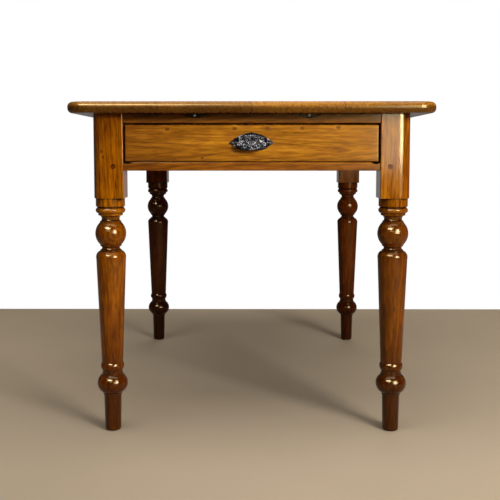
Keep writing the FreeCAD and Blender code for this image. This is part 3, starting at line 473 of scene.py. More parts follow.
def shade_by_place(tree, colour, where, cloud, shades):
    """Tint a colour between two places along an axis, with an edge that the clouds make ragged."""
    for axis, start, end, tint in shades:
        place = dot(tree, where, GRAIN_AXES[axis])
        uneven = sums(tree, "MULTIPLY", sums(tree, "SUBTRACT", cloud, 0.5), abs(end - start) * RAGGED)
        share = stretch(tree, sums(tree, "ADD", place, uneven), start, end)
        colour = blend(tree, share, colour, tint, "MULTIPLY")
    return colour


def wax_and_shade_in_hollows(tree, colour):
    """Dark wax and painted shade where the piece closes in on itself."""
    hollow = add_node(tree, "AmbientOcclusion", {"Distance": HOLLOW_REACH}, samples=8, only_local=True)
    share = stretch(tree, hollow.outputs["AO"], *HOLLOW_RANGE, HOLLOW_SHARE, 0.0)
    return blend(tree, share, colour, WAX_AND_SHADE_IN_HOLLOWS)


print("hollows are looked for within", HOLLOW_REACH * 1000, "mm")

# %% [markdown]
# Wax fills the pores and shines, while the hard fibres stand a little proud. One clear coat could give
# the shine, but old wax is uneven. So the roughness follows the streaks, the wood itself mirrors in a
# warm tint, and a thin coat on top sharpens it. Fibres and rings are too fine for geometry, so they are
# a bump.

# %% Surface of the wax
WAX_TINT = (1.0, 0.72, 0.25, 1)
COAT_ROUGHNESS = 0.09
GLOSS_SPREAD = (-0.05, 0.07)
RING_HEIGHT = 0.8
GRAIN_BUMP = {"Strength": 0.12, "Distance": 0.0006}


def wax_surface(tree, shader, figure, look, faces):
    """The roughness, the bump and the shine of wax on wood."""
    smoothest, roughest = [look["gloss"] + spread for spread in GLOSS_SPREAD]
    rough = stretch(tree, figure["Streak"], 0, 1, smoothest, roughest)
    tree.links.new(rough, shader.inputs["Roughness"])
    height = sums(tree, "ADD", figure["Fibre"], sums(tree, "MULTIPLY", figure["Ring"], RING_HEIGHT))
    height = sums(tree, "MULTIPLY", height, faces)
    bump = add_node(tree, "Bump", {"Height": height, **GRAIN_BUMP}).outputs[0]
    tree.links.new(bump, shader.inputs["Normal"])
    shader.inputs["Specular IOR Level"].default_value = look["wax"]
    shader.inputs["Specular Tint"].default_value = WAX_TINT
    shader.inputs["Coat Weight"].default_value = look["polish"]
    shader.inputs["Coat Roughness"].default_value = COAT_ROUGHNESS


print("grain bump:", GRAIN_BUMP)

# %% [markdown]
# Now the layers come together in one function that makes the material of a piece. One material could
# serve the whole table, but each piece has its own pith, knots and shades. The function needs only those
# and a finish, which is a set of colours and strengths. Each part of the table has had its own life: the
# top is wiped, the rails stay in the shade, the legs are polished, and the inside was never finished. In
# a finish, early and late are the colours of a ring, shade and mottle tint its slow changes, and the
# rest are the strengths of flecks, dark ends, roughness, shine in the wood, and coat.

# %% Waxed pine
def waxed_pine(name, grain, pith, look, knots=(), lean=(0, 0, 0), shades=()):
    """Waxed pine whose grain runs along one axis, with the pith of its log at a point."""
    material, tree, shader = new_material(name)
    where = add_node(tree, "TexCoord").outputs["Object"]
    bent, knot, depth = bend_round_knots(tree, where, grain, knots)
    figure = pine_figure(tree, bent, grain, pith, lean)
    ends = end_share(tree, grain)
    faces = sums(tree, "SUBTRACT", 1.0, ends)
    colour = wood_colour(tree, figure, look, faces)
    if knots:
        colour = knot_colour(tree, colour, knot, depth)
    colour = blend(tree, sums(tree, "MULTIPLY", ends, look["ends"]), colour, END_GRAIN, "MULTIPLY")
    colour = shade_by_place(tree, colour, where, figure["Cloud"], shades)
    colour = wax_and_shade_in_hollows(tree, colour)
    tree.links.new(colour, shader.inputs["Base Color"])
    wax_surface(tree, shader, figure, look, faces)
    return material


print("materials so far:", len(bpy.data.materials))

# %% Finishes of the wood
OLD_WAX = (0.72, 0.63, 0.52, 1)
OLD_GRIME = (0.70, 0.60, 0.50, 1)
FAINT_WAX = (0.86, 0.80, 0.72, 1)
LOOKS = {
    "top": {
        "early": (0.45, 0.175, 0.018, 1), "late": (0.27, 0.088, 0.006, 1),
        "shade": (0.72, 0.64, 0.5, 1), "mottle": FAINT_WAX,
        "fleck": 0.5, "ends": 0.8, "gloss": 0.27, "wax": 0.36, "polish": 0.08,
    },
    "drawer": {
        "early": (0.42, 0.148, 0.005, 1), "late": (0.27, 0.080, 0.002, 1),
        "shade": (0.66, 0.60, 0.5, 1), "mottle": OLD_WAX,
        "fleck": 0.6, "ends": 0.6, "gloss": 0.30, "wax": 0.25, "polish": 0.1,
    },
    "rail": {
        "early": (0.30, 0.084, 0.003, 1), "late": (0.19, 0.048, 0.001, 1),
        "shade": (0.66, 0.58, 0.5, 1), "mottle": OLD_WAX,
        "fleck": 0.6, "ends": 0.6, "gloss": 0.30, "wax": 0.25, "polish": 0.1,
    },
    "leg": {
        "early": (0.41, 0.122, 0.001, 1), "late": (0.27, 0.072, 0.001, 1),
        "shade": (0.56, 0.44, 0.4, 1), "mottle": OLD_GRIME,
        "fleck": 0.9, "ends": 0.6, "gloss": 0.12, "wax": 0.28, "polish": 0.17,
    },
    # A darker copy of the legs' finish. On the back legs it is painted shade for the shadow under the top,
    # and the pegs use it as their own darker wood.
    "back_leg": {
        "early": (0.125, 0.025, 0.001, 1), "late": (0.08, 0.014, 0.001, 1),
        "shade": (0.6, 0.5, 0.4, 1), "mottle": OLD_GRIME,
        "fleck": 0.6, "ends": 0.6, "gloss": 0.15, "wax": 0.15, "polish": 0.1,
    },
    "inside": {
        "early": (0.45, 0.26, 0.105, 1), "late": (0.33, 0.165, 0.055, 1),
        "shade": (0.8, 0.74, 0.66, 1), "mottle": OLD_WAX,
        "fleck": 0.4, "ends": 0.5, "gloss": 0.62, "wax": 0.3, "polish": 0.0,
    },
}
print("finishes:", ", ".join(LOOKS))

# %% [markdown]
# Each board of the top came from its own log, so each has its own tone, pith and knots. All four could be
# cut from one pattern, but then the joints between them would not show. The pith leans a little against the
# board, and that draws the long flames on its face. The lower half of a board's end is painted brown,
# partly grime and partly painted shade, so only the upper round, which faces the light, is honey coloured.
# Dirt in the joints draws a thin dark line.

# %% Dressing and toning
def dress(node, material):
    """Give a CAD piece its finish."""
    slots = nodes[node].data.materials
    slots.clear()
    slots.append(material)


def toned(look, tone):
    """The same finish on wood that is a little darker or lighter."""
    early = [value * tone for value in look["early"][:3]]
    late = [value * tone for value in look["late"][:3]]
    return dict(look, early=(*early, 1), late=(*late, 1))


print("pieces to dress:", len(nodes))

# %% Top boards
# For each board: its tone, its pith across and up from its middle, its lean, and its knots, each with its
# place across and along and its radius.
TOP_BOARDS = (
    (0.88, 0.02, -0.05, 0.035, ((-0.05, -0.31, 0.010), (0.035, 0.20, 0.007))),
    (0.86, -0.03, -0.06, -0.03, ((0.02, -0.05, 0.008), (-0.06, 0.40, 0.011))),
    (1.06, 0.04, 0.055, 0.03, ((-0.03, 0.12, 0.012), (0.05, -0.40, 0.006))),
    (0.93, -0.02, -0.045, -0.04, ((0.03, 0.33, 0.009), (-0.04, -0.18, 0.007))),
)
SIDE_LEAN = 0.3
# Painted shade and grime: everything below the upper round of each board, its end included, is darkened.
SHADE_AND_GRIME_ON_END = ("Z", 0.7525, 0.7475, (0.38, 0.36, 0.34, 1))
JOINT = 0.0012
JOINT_DIRT = (0.12, 0.10, 0.08, 1)


def board_shades(number, low, high):
    """The painted shade and grime on the lower end, and a line of dirt along each edge that meets another
    board.
    """
    shades = [SHADE_AND_GRIME_ON_END]
    if number > 1:
        shades.append(("X", low.x + JOINT, low.x, JOINT_DIRT))
    if number < len(TOP_BOARDS):
        shades.append(("X", high.x - JOINT, high.x, JOINT_DIRT))
    return shades


for number, (tone, pith_across, pith_up, lean, spots) in enumerate(TOP_BOARDS, start=1):
    name = f"top_board_{number}"
    low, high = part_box(name)
    middle = (low + high) / 2
    pith = middle + Vector((pith_across, 0, pith_up))
    knots = [(middle + Vector((x, y, 0)), "Z", radius) for x, y, radius in spots]
    look = toned(LOOKS["top"], tone)
    log_lean = (SIDE_LEAN * lean, 0, lean)
    shades = board_shades(number, low, high)
    dress(name, waxed_pine(f"pine_{name}", "Y", pith, look, knots, log_lean, shades))
print("dressed", len(TOP_BOARDS), "top boards")

# %% [markdown]
# The drawer front has a row of plugged holes near its upper edge, and one pin hole, all filled with dark
# wax. They could be cut into the mesh, but they are flush with the face, so small knots stand for them.
# The left half is painted darker, a painted shade away from the light on the right, and the lower edge is
# dark where it rubs the rail. The right arris has a painted highlight, a pale line where it catches the
# light.

# %% Drawer front
# Each plug's place across and up, and its radius. The last one is the pin hole.
PLUGS = (
    (-0.190, 0.7000, 0.0034),
    (-0.038, 0.7015, 0.0034),
    (0.036, 0.7030, 0.0026),
    (0.114, 0.7025, 0.0030),
    (0.195, 0.7040, 0.0036),
    (-0.1115, 0.6355, 0.0023),
)
PITH_BEHIND = 0.045
PITH_UP = 0.655
DRAWER_LEAN = (0, 0.03, 0.015)
# Painted shade: the drawer front darkens towards its left end, away from the light.
SHADED_LEFT_HALF = ("X", -0.05, -0.30, (0.82, 0.76, 0.6, 1))
DARK_LOWER_EDGE = ("Z", 0.640, 0.628, (0.72, 0.66, 0.6, 1))
# Painted highlight: a pale line down the right arris, where it would catch the light.
ARRIS_HIGHLIGHT_TINT = (1.3, 1.75, 4.5, 1)
ARRIS_START = 0.004
ARRIS_END = 0.0015


def dress_drawer_front():
    low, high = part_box("drawer_front")
    knots = [(Vector((x, low.y, z)), "Y", radius) for x, z, radius in PLUGS]
    pith = Vector((0, low.y + PITH_BEHIND, PITH_UP))
    painted_arris_highlight = ("X", high.x - ARRIS_START, high.x - ARRIS_END, ARRIS_HIGHLIGHT_TINT)
    shades = (SHADED_LEFT_HALF, DARK_LOWER_EDGE, painted_arris_highlight)
    finish = waxed_pine("pine_drawer_front", "X", pith, LOOKS["drawer"], knots, DRAWER_LEAN, shades)
    dress("drawer_front", finish)


dress_drawer_front()
print("dressed the drawer front, with", len(PLUGS), "small holes")

# %% [markdown]
# Rails and aprons frame the drawer and hold the legs. The rail above it lies in the shade of the top, and
# that shadow is painted on its upper part. The one below has a painted highlight, a pale line along its
# upper edge, where the drawer slides. They could share one material, but every piece needs its own pith, or
# the same figure would show twice.

# %% Rails and aprons
RAIL_PITH = Vector((0, 0.06, 0.03))
RAIL_LEAN = (0, 0.03, 0.02)
APRON_PITH = Vector((0.05, 0, 0.02))
APRON_LEAN = (0.04, 0, 0.02)
SIDE_APRONS = ("side_apron_left", "side_apron_right")
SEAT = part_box("drawer_bottom_rail")[1].z
# Painted highlight: a pale line along the upper edge of the rail below the drawer.
SEAT_HIGHLIGHT_START = 0.0035
SEAT_HIGHLIGHT_END = 0.0015
SEAT_HIGHLIGHT = ("Z", SEAT - SEAT_HIGHLIGHT_START, SEAT - SEAT_HIGHLIGHT_END, (1.3, 1.5, 2.4, 1))
RAIL_FOOT = ("Z", 0.615, 0.600, (0.8, 0.74, 0.7, 1))
# Painted shadow: the upper part of the rail above the drawer is darkened, under the overhang of the top.
RAIL_SHADOW_BELOW_TOP = ("Z", 0.708, 0.722, (0.36, 0.33, 0.36, 1))
RAIL_SHADES = {
    "drawer_top_rail": (RAIL_SHADOW_BELOW_TOP,),
    "drawer_bottom_rail": (RAIL_FOOT, SEAT_HIGHLIGHT),
    "far_apron": (),
}


def middle_of(name):
    """The middle of a piece's box."""
    low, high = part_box(name)
    return (low + high) / 2


for name, shades in RAIL_SHADES.items():
    pith = middle_of(name) + RAIL_PITH
    dress(name, waxed_pine(f"pine_{name}", "X", pith, LOOKS["rail"], lean=RAIL_LEAN, shades=shades))
for name in SIDE_APRONS:
    pith = middle_of(name) + APRON_PITH
    dress(name, waxed_pine(f"pine_{name}", "Y", pith, LOOKS["rail"], lean=APRON_LEAN))
print("dressed", len(RAIL_SHADES) + len(SIDE_APRONS), "rails and aprons")

# %% [markdown]
# The legs were turned from square posts, so the figure runs on from block to foot and the lathe has cut it
# into rings and flames. The colour darkens to brown towards the feet. From the balls down the wood is
# darker, less so on the left taper than on the right one. A painted shadow darkens the blocks under the
# top, and painted shade darkens the right leg except on its outer side, away from the light on the right.
# The back legs take a darker finish, painted shade for the dim space under the top, and the left one is
# shaded more below its block. These could be painted masks, but on a turned shape shades by height are
# enough.

# %% Legs
FOOT_SHADE = ("Z", 0.22, 0.06, (0.40, 0.33, 0.22, 1))
FROM_BALL_DOWN = ("Z", 0.510, 0.497, (0.56, 0.48, 0.46, 1))
# Painted shadow: the tops of the front legs' blocks are darkened under the top.
LEG_SHADOW_BELOW_TOP = ("Z", 0.700, 0.735, (0.6, 0.55, 0.5, 1))
LEFT_TAPER = ("Z", 0.436, 0.424, (1.32, 1.38, 1.3, 1))
RIGHT_TAPER = ("Z", 0.436, 0.424, (0.92, 0.88, 0.85, 1))
# Painted shade: the right front leg is darker except on its outer side, away from the light.
SHADED_INNER_SIDE = ("X", 0.352, 0.336, (0.84, 0.87, 0.92, 1))
# Painted shade: the back left leg is darker below its block.
SHADED_BACK_SHAFT = ("Z", 0.56, 0.50, (0.6, 0.5, 0.6, 1))
LEG_SHADES = {
    "leg_front_left": (FOOT_SHADE, LEG_SHADOW_BELOW_TOP, FROM_BALL_DOWN, LEFT_TAPER),
    "leg_front_right": (FOOT_SHADE, LEG_SHADOW_BELOW_TOP, FROM_BALL_DOWN, RIGHT_TAPER, SHADED_INNER_SIDE),
    "leg_back_left": (FOOT_SHADE, SHADED_BACK_SHAFT),
    "leg_back_right": (FOOT_SHADE,),
}
LEG_PITH_OUT = 0.05
LEG_PITH_BACK = 0.07
LEG_LEAN_OUT = 0.008
LEG_LEAN_BACK = 0.012
BLOCK_MARKS = {"leg_front_left": ((-0.3385, 0.650), (-0.3345, 0.6375))}
MARK_RADIUS = 0.0024


def dress_leg(name, shades):
    low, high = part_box(name)
    look = LOOKS["leg" if "front" in name else "back_leg"]
    side = -1 if "left" in name else 1
    pith = (low + high) / 2 + Vector((side * LEG_PITH_OUT, LEG_PITH_BACK, 0))
    lean = (side * LEG_LEAN_OUT, LEG_LEAN_BACK, 0)
    marks = [(Vector((x, low.y, z)), "Y", MARK_RADIUS) for x, z in BLOCK_MARKS.get(name, ())]
    dress(name, waxed_pine(f"pine_{name}", "Z", pith, look, marks, lean, shades))


for name, shades in LEG_SHADES.items():
    dress_leg(name, shades)
print("dressed", len(LEG_SHADES), "legs")

# %% [markdown]
# Wood that nobody sees was left bare. It is paler and duller than the outside, and it has only yellowed.
# It could be one plain colour, but it shows when the drawer is open, so it gets the same figure without
# polish.

# %% Bare wood inside
BARE = {
    "X": (
        "drawer_back", "drawer_stops",
        "drawer_bottom_board_1", "drawer_bottom_board_2", "drawer_bottom_board_3",
    ),
    "Y": (
        "drawer_runner_left", "drawer_runner_right", "drawer_guide_left", "drawer_guide_right",
        "drawer_kicker_left", "drawer_kicker_right", "drawer_side_left", "drawer_side_right",
        "glue_blocks",
    ),
}
BARE_PITH = Vector((0.03, 0.05, -0.07))
BARE_PITH_STEP = Vector((0.02, 0, 0.013))
BARE_LEAN = (0.02, 0.02, 0.03)

for grain, names in BARE.items():
    for number, name in enumerate(names):
        pith = middle_of(name) + BARE_PITH + BARE_PITH_STEP * number
        dress(name, waxed_pine(f"pine_{name}", grain, pith, LOOKS["inside"], lean=BARE_LEAN))
print("dressed", sum(len(names) for names in BARE.values()), "inside pieces")

# %% [markdown]
# Iron pieces came from a foundry or a nail maker. Cast iron is nearly black and slightly rough, with a
# bright sheen where fingers have rubbed the high parts bare. Rubbed places could be painted by hand, but
# the height of the ornament already says where they are: the handle's mesh will carry it as a number at
# each point. Nails and screws have no ornament, so pointiness finds their edges. Noise breaks up both.
# The surface is only partly metal, because old soot and wax on it scatter light.

# %% High parts of the iron
EDGE_POINTINESS = (0.48, 0.58)


def iron_height(tree, relief_name):
    """How high a place stands, from a stored relief or else from the edges of the mesh."""
    if relief_name:
        return add_node(tree, "Attribute", attribute_name=relief_name).outputs["Fac"]
    return stretch(tree, add_node(tree, "NewGeometry").outputs["Pointiness"], *EDGE_POINTINESS)


print("edges are where pointiness passes", EDGE_POINTINESS[0])

# %% Worn iron
IRON_RUST = (0.05, 0.030, 0.020, 1)
IRON_METAL = 0.75
IRON_SHINE = 0.08
IRON_TINT = (0.35, 0.35, 0.36, 1)
PITS = {"Scale": 900.0, "Detail": 3.0}
PIT_BUMP = {"Strength": 0.25, "Distance": 0.0004}
PIT_ROUGHNESS = (0.42, 0.58)
PATCHES = {"Scale": 90.0, "Detail": 2.0}
RUST_RANGE = (0.5, 0.75)
RUST_SHARE = 0.5
NOISE_RANGE = (0.3, 0.7)
PATCH_HEIGHT = (-0.25, 0.15)
RUBBED_HEIGHT = (0.61, 1.0)
RUBBED_SMOOTHER = 0.18


def worn_iron(name, dark, rubbed, relief_name=None):
    """Dark iron with pits and rust, rubbed bright on its high parts."""
    material, tree, shader = new_material(name)
    where = add_node(tree, "TexCoord").outputs["Object"]
    pits = add_node(tree, "TexNoise", {"Vector": where, **PITS}).outputs[0]
    patch = add_node(tree, "TexNoise", {"Vector": where, **PATCHES}).outputs[0]
    colour = blend(tree, stretch(tree, patch, *RUST_RANGE, 0.0, RUST_SHARE), dark, IRON_RUST)
    uneven = stretch(tree, patch, *NOISE_RANGE, *PATCH_HEIGHT)
    shine = stretch(tree, sums(tree, "ADD", iron_height(tree, relief_name), uneven), *RUBBED_HEIGHT)
    tree.links.new(blend(tree, shine, colour, rubbed), shader.inputs["Base Color"])
    rough = stretch(tree, pits, *NOISE_RANGE, *PIT_ROUGHNESS)
    rough = sums(tree, "SUBTRACT", rough, sums(tree, "MULTIPLY", shine, RUBBED_SMOOTHER))
    tree.links.new(rough, shader.inputs["Roughness"])
    bump = add_node(tree, "Bump", {"Height": pits, **PIT_BUMP}).outputs[0]
    tree.links.new(bump, shader.inputs["Normal"])
    shader.inputs["Metallic"].default_value = IRON_METAL
    shader.inputs["Specular IOR Level"].default_value = IRON_SHINE
    shader.inputs["Specular Tint"].default_value = IRON_TINT
    return material


IRON_DARK = (0.005, 0.005, 0.006, 1)
IRON_RUBBED = (0.47, 0.475, 0.485, 1)
RELIEF_NAME = "relief"
cast_iron = worn_iron("cast_iron", IRON_DARK, IRON_RUBBED, RELIEF_NAME)
print("cast iron has", len(cast_iron.node_tree.nodes), "nodes")

# %% [markdown]
# The top is screwed down, nails hold the runners, kickers and drawer bottom, and pegs lock the joints of
# the frame. Screws and nails are dull steel, the same worn iron in a paler tone. A peg could be turned
# from the leg's own wood, but pegs are split from a harder and darker piece, so they take the finish of
# the back legs.

# %% Nails, screws and pegs
STEEL_DULL = (0.30, 0.29, 0.27, 1)
FASTENERS = ("top_screws", "runner_nails", "kicker_nails", "drawer_bottom_nails")
PEGS = ("rail_pegs", "side_apron_pegs", "far_apron_pegs")

dull_steel = worn_iron("dull_steel", STEEL_DULL, IRON_RUBBED)
for name in FASTENERS:
    dress(name, dull_steel)
peg_material = waxed_pine("peg_wood", "X", (0, 0, 0), LOOKS["back_leg"])
for name in PEGS:
    dress(name, peg_material)
print("dressed", len(FASTENERS), "groups of fasteners and", len(PEGS), "groups of pegs")

# %% [markdown]
# The handle is one casting: a plate pointed at both ends and a cup that fingers reach into from below.
# The joiner's piece has those two forms but not the ornament that a pattern maker would carve. It could
# be a bump in the material, but at this depth its outline and shadows would be missed. So a fine grid is
# laid over each form, and its points are raised by how near they are to the lines of the ornament.

# %% Measures of the handle
handle_low, handle_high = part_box("cup_handle")
DRAWER_FACE = handle_high.y
PLATE_HALF = handle_high.x
PLATE_HEIGHT = handle_high.z - handle_low.z
PLATE_TIP = 0.017
PLATE_THICK = 0.0022
CUP_HALF = 0.0335
CUP_HEIGHT = 0.031
CUP_LIP = 0.005
CUP_WALL = 0.0022
ORNAMENT_ROOM = 0.0012
CUP_REACH = handle_high.y - handle_low.y - ORNAMENT_ROOM


def to_drawer(across, out, up):
    """A place on the handle, given across, out from the drawer and up from the handle's foot."""
    return Vector((across, DRAWER_FACE - out, handle_low.z + up))


print("handle is", round(2 * PLATE_HALF * 1000), "mm wide and", round(PLATE_HEIGHT * 1000), "mm high")

# %% [markdown]
# The cup's ornament is scrolls with a leaf beside each, a shell in the middle, and rows of small beads
# on the ground between them. Curves could be bent over the cup, but it is simpler to draw on the cup
# laid flat: every line becomes a row of points, each with the width of its ridge. Only the right half is
# drawn, and the left half mirrors it.

# %% Scrolls
# Each scroll's centre across and down the cup laid flat, its radius and its turns.
SCROLLS = (
    ((0.0100, 0.0145), 0.0058, 1.05),
    ((0.0228, 0.0140), 0.0058, -1.05),
    ((0.0155, 0.0252), 0.0046, -1.0),
    ((0.0268, 0.0248), 0.0046, 1.0),
)
SCROLL_RIDGE = 0.0009
SCROLL_POINTS = 30
SCROLL_CLOSES = 0.85
LEAF = 0.0011


def scroll_marks(centre, radius, turns):
    """Points along a scroll that winds in to its centre, and a leaf outside it."""
    marks = []
    for step in range(SCROLL_POINTS):
        share = step / (SCROLL_POINTS - 1)
        angle = math.pi + turns * 2 * math.pi * share
        reach = radius * (1 - SCROLL_CLOSES * share)
        place = (centre[0] + reach * math.cos(angle), centre[1] + reach * math.sin(angle))
        marks.append((place, SCROLL_RIDGE))
    marks.append(((centre[0] + radius, centre[1] - radius), LEAF))
    return marks


MARKS = [mark for scroll in SCROLLS for mark in scroll_marks(*scroll)]
print("points on the scrolls:", len(MARKS))

# %% Shell
SHELL_FOOT = 0.0278
SHELL_BOSS = 0.0014
SHELL_RIBS = 4
RIB_ANGLE = 0.42
RIB_POINTS = 9
RIB_START = 0.0038
RIB_STEP = 0.0009
RIB_WIDTH = 0.0005
RIB_WIDENS = 0.00003


def shell_marks():
    """Ribs that fan out from the foot of the shell and widen, and the boss at their foot."""
    marks = [((0, SHELL_FOOT), SHELL_BOSS)]
    for rib in range(SHELL_RIBS):
        angle = math.pi / 2 - rib * RIB_ANGLE
        for step in range(RIB_POINTS):
            reach = RIB_START + RIB_STEP * step
            place = (reach * math.cos(angle), SHELL_FOOT - reach * math.sin(angle))
            marks.append((place, RIB_WIDTH + RIB_WIDENS * step))
    return marks


MARKS += shell_marks()
print("points with the shell:", len(MARKS))

# %% Ground beads
GROUND_ROWS = (0.0098, 0.0198, 0.0296)
GROUND_COUNT = 7
GROUND_STEP = 0.0047
GROUND_BEAD = 0.0010

ground_columns = [(step + 0.5) * GROUND_STEP for step in range(GROUND_COUNT)]
MARKS += [((across, row), GROUND_BEAD) for row in GROUND_ROWS for across in ground_columns]
print("points with the ground beads:", len(MARKS))

# %% [markdown]
# The height at a place is that of the tallest ridge there. A ridge could have a sharp or a stepped
# profile, but a round one catches light as a worn casting does. A row of beads closes the ornament
# below, and a twisted rope closes it above.

# %% Relief of the cup
BEAD_ROW = 0.0322
BEAD_STEP = 0.0042
BEAD_RADIUS = 0.00168
BEAD_HEIGHT = 0.8
ROPE_ROW = 0.0062
ROPE_HALF = 0.0012
ROPE_HEIGHT = 0.7
ROPE_TWISTS = 2400
ROPE_DEPTH = 0.3


def ridge(distance, width):
    """Height from 0 to 1 of a rounded ridge, at a distance from its line."""
    return math.sqrt(max(0.0, 1 - (distance / width) ** 2))


def cup_relief(across, down):
    """Height of the ornament, as a share of the tallest, at a place across and down the cup laid flat."""
    across = abs(across)
    height = max(ridge(math.hypot(across - x, down - y), width) for (x, y), width in MARKS)
    from_bead = (across + BEAD_STEP / 2) % BEAD_STEP - BEAD_STEP / 2
    bead = BEAD_HEIGHT * ridge(math.hypot(from_bead, down - BEAD_ROW), BEAD_RADIUS)
    twist = 1 - ROPE_DEPTH + ROPE_DEPTH * math.sin(across * ROPE_TWISTS)
    rope = ROPE_HEIGHT * twist * ridge(down - ROPE_ROW, ROPE_HALF)
    return max(height, bead, rope)


print("relief at the foot of the shell:", round(cup_relief(0, SHELL_FOOT), 2))

# %% [markdown]
# The cup is a quarter of a barrel, closed at both ends, with a lip that turns down. It could be spun,
# but its ends are squarer than a circle, so a grid is bent over instead: it starts at the top, leans out
# over the front and drops at the lip. The points then rise along their normals by the relief, and
# solidify gives the wall its thickness. The relief also stays in the mesh as a number at each point, for
# the iron to read.

# %% Form of the cup
FRONT_SHARE = 0.82
END_SQUARE = 4
END_ROUND = 0.4
END_HEIGHT = 0.7
END_LIFT = 0.006
END_LIFT_CURVE = 3


def cup_place(side, down):
    """A place on the smooth cup, from -1 to 1 across and from 0 to 1 down."""
    end = max(0.0, 1 - abs(side) ** END_SQUARE) ** END_ROUND
    turn = min(1, down / FRONT_SHARE) * math.pi / 2
    drop = max(0, down - FRONT_SHARE) / (1 - FRONT_SHARE)
    dome = (CUP_HEIGHT - CUP_LIP) * (END_HEIGHT + (1 - END_HEIGHT) * end)
    height = CUP_LIP + dome * math.cos(turn) - CUP_LIP * drop
    lift = END_LIFT * abs(side) ** END_LIFT_CURVE
    height = lift + height * (1 - lift / CUP_HEIGHT)
    return to_drawer(side * CUP_HALF, CUP_REACH * end * math.sin(turn), height)


print("the lip stands", round((DRAWER_FACE - cup_place(0, 1).y) * 1000, 1), "mm out from the drawer")

# %% Cup
CUP_GRID = (180, 80)
FRONT_LENGTH = 0.036
RELIEF = 0.0017


def add_cup(bm, relief):
    across, along = CUP_GRID
    grid = bmesh.ops.create_grid(bm, x_segments=across, y_segments=along, size=1)["verts"]
    laid_flat = {}
    for vert in grid:
        side = math.sin(vert.co.x * math.pi / 2)
        down = (vert.co.y + 1) / 2
        laid_flat[vert] = (side * CUP_HALF, down * FRONT_LENGTH)
        vert.co = cup_place(side, down)
    bmesh.ops.recalc_face_normals(bm, faces=bm.faces)
    bm.normal_update()
    for vert, place in laid_flat.items():
        outward = vert.normal if vert.normal.dot(vert.co - to_drawer(0, 0, 0)) > 0 else -vert.normal
        vert[relief] = cup_relief(*place)
        vert.co += outward * RELIEF * vert[relief]
    bmesh.ops.solidify(bm, geom=bm.faces[:], thickness=CUP_WALL)


casting = bmesh.new()
relief = casting.verts.layers.float.new(RELIEF_NAME)
add_cup(casting, relief)
print("cup has", len(casting.verts), "points")

# %% [markdown]
# The plate lies flat on the drawer. It could be filled in from its outline, but a grid squeezed together
# at both ends gives it points to raise: flutes that fan out over it, a border, and a ring round each
# screw. Its rim is then pushed back to the drawer, and the hole at the back is filled, so that the mesh
# is closed.

# %% Relief of the plate
FLUTES = 30
FLUTE_SHARE = 0.85
FLUTE_FADE = 0.002
FLUTE_CLEARS_SCREW = 4
FAN_FOOT = 0.6
SCREW_ACROSS = 0.042
SCREW_RING = 0.0047
SCREW_RING_HALF = 0.001
BORDER_HALF = 0.0016
EDGE_SHARE = 0.7


def plate_relief(across, up, to_border):
    """Height of the plate's flutes, border and screw rings, as a share of the tallest."""
    fan = math.atan2(up - PLATE_TIP * FAN_FOOT, across)
    from_screw = math.hypot(abs(across) - SCREW_ACROSS, up - PLATE_TIP)
    flute = abs(math.cos(fan * FLUTES / 2)) * min(1, max(0, to_border - BORDER_HALF) / FLUTE_FADE)
    flute *= min(1, from_screw / SCREW_RING) ** FLUTE_CLEARS_SCREW
    border = ridge(to_border - BORDER_HALF, BORDER_HALF)
    ring = ridge(from_screw - SCREW_RING, SCREW_RING_HALF)
    return max(FLUTE_SHARE * flute, EDGE_SHARE * border, EDGE_SHARE * ring)


print("relief on the border:", round(plate_relief(0, PLATE_HEIGHT, BORDER_HALF), 2))

# %% Form of the plate
FLUTE_HEIGHT = 0.0012


def shape_plate(grid, relief):
    """Squeeze a square grid to the plate's outline, and raise its relief."""
    for vert in grid:
        side = vert.co.x
        rise = (vert.co.y + 1) / 2
        arch = 1 - side * side
        low = PLATE_TIP * (1 - arch)
        high = PLATE_TIP + (PLATE_HEIGHT - PLATE_TIP) * arch
        across = side * PLATE_HALF
        up = low + (high - low) * rise
        vert[relief] = plate_relief(across, up, min(rise, 1 - rise) * (high - low))
        vert.co = to_drawer(across, PLATE_THICK + FLUTE_HEIGHT * vert[relief], up)


print("the plate is up to", round((PLATE_THICK + FLUTE_SHARE * FLUTE_HEIGHT) * 1000, 1), "mm thick")

# %% Plate
PLATE_GRID = (120, 36)
PLATE_WELD = 0.00005


def open_edges(bm):
    """The edges with a face on one side only."""
    return [edge for edge in bm.edges if edge.is_boundary]


def new_points(result):
    """The vertices among what an extrude made."""
    return [item for item in result["geom"] if isinstance(item, bmesh.types.BMVert)]


def add_plate(bm, relief):
    across, along = PLATE_GRID
    grid = bmesh.ops.create_grid(bm, x_segments=across, y_segments=along, size=1)["verts"]
    shape_plate(grid, relief)
    rim = dict.fromkeys(edge for vert in grid for edge in vert.link_edges if edge.is_boundary)
    back = new_points(bmesh.ops.extrude_edge_only(bm, edges=list(rim)))
    for vert in back:
        vert.co.y = DRAWER_FACE
        vert[relief] = 0
    bmesh.ops.remove_doubles(bm, verts=grid + back, dist=PLATE_WELD)
    bmesh.ops.holes_fill(bm, edges=open_edges(bm))


add_plate(casting, relief)
print("cup and plate have", len(casting.verts), "points")

# %% [markdown]
# A small ball hangs at the middle of the lip, and another crowns the plate. Then the casting becomes a
# piece: it is shaded smooth, gets its iron, and rides on the drawer, so that it slides out with it. The
# normals are worked out again first, because the parts were made in different ways.

# %% Handle
BALL_RADIUS = 0.0026
BALL_ROUND = (20, 12)
LIP_BALL_UP = 0.0022
CROWN_BALL_DOWN = 0.001


def add_ball(bm, place):
    round_it, up_it = BALL_ROUND
    ball = bmesh.ops.create_uvsphere(bm, u_segments=round_it, v_segments=up_it, radius=BALL_RADIUS)["verts"]
    bmesh.ops.translate(bm, verts=ball, vec=place)


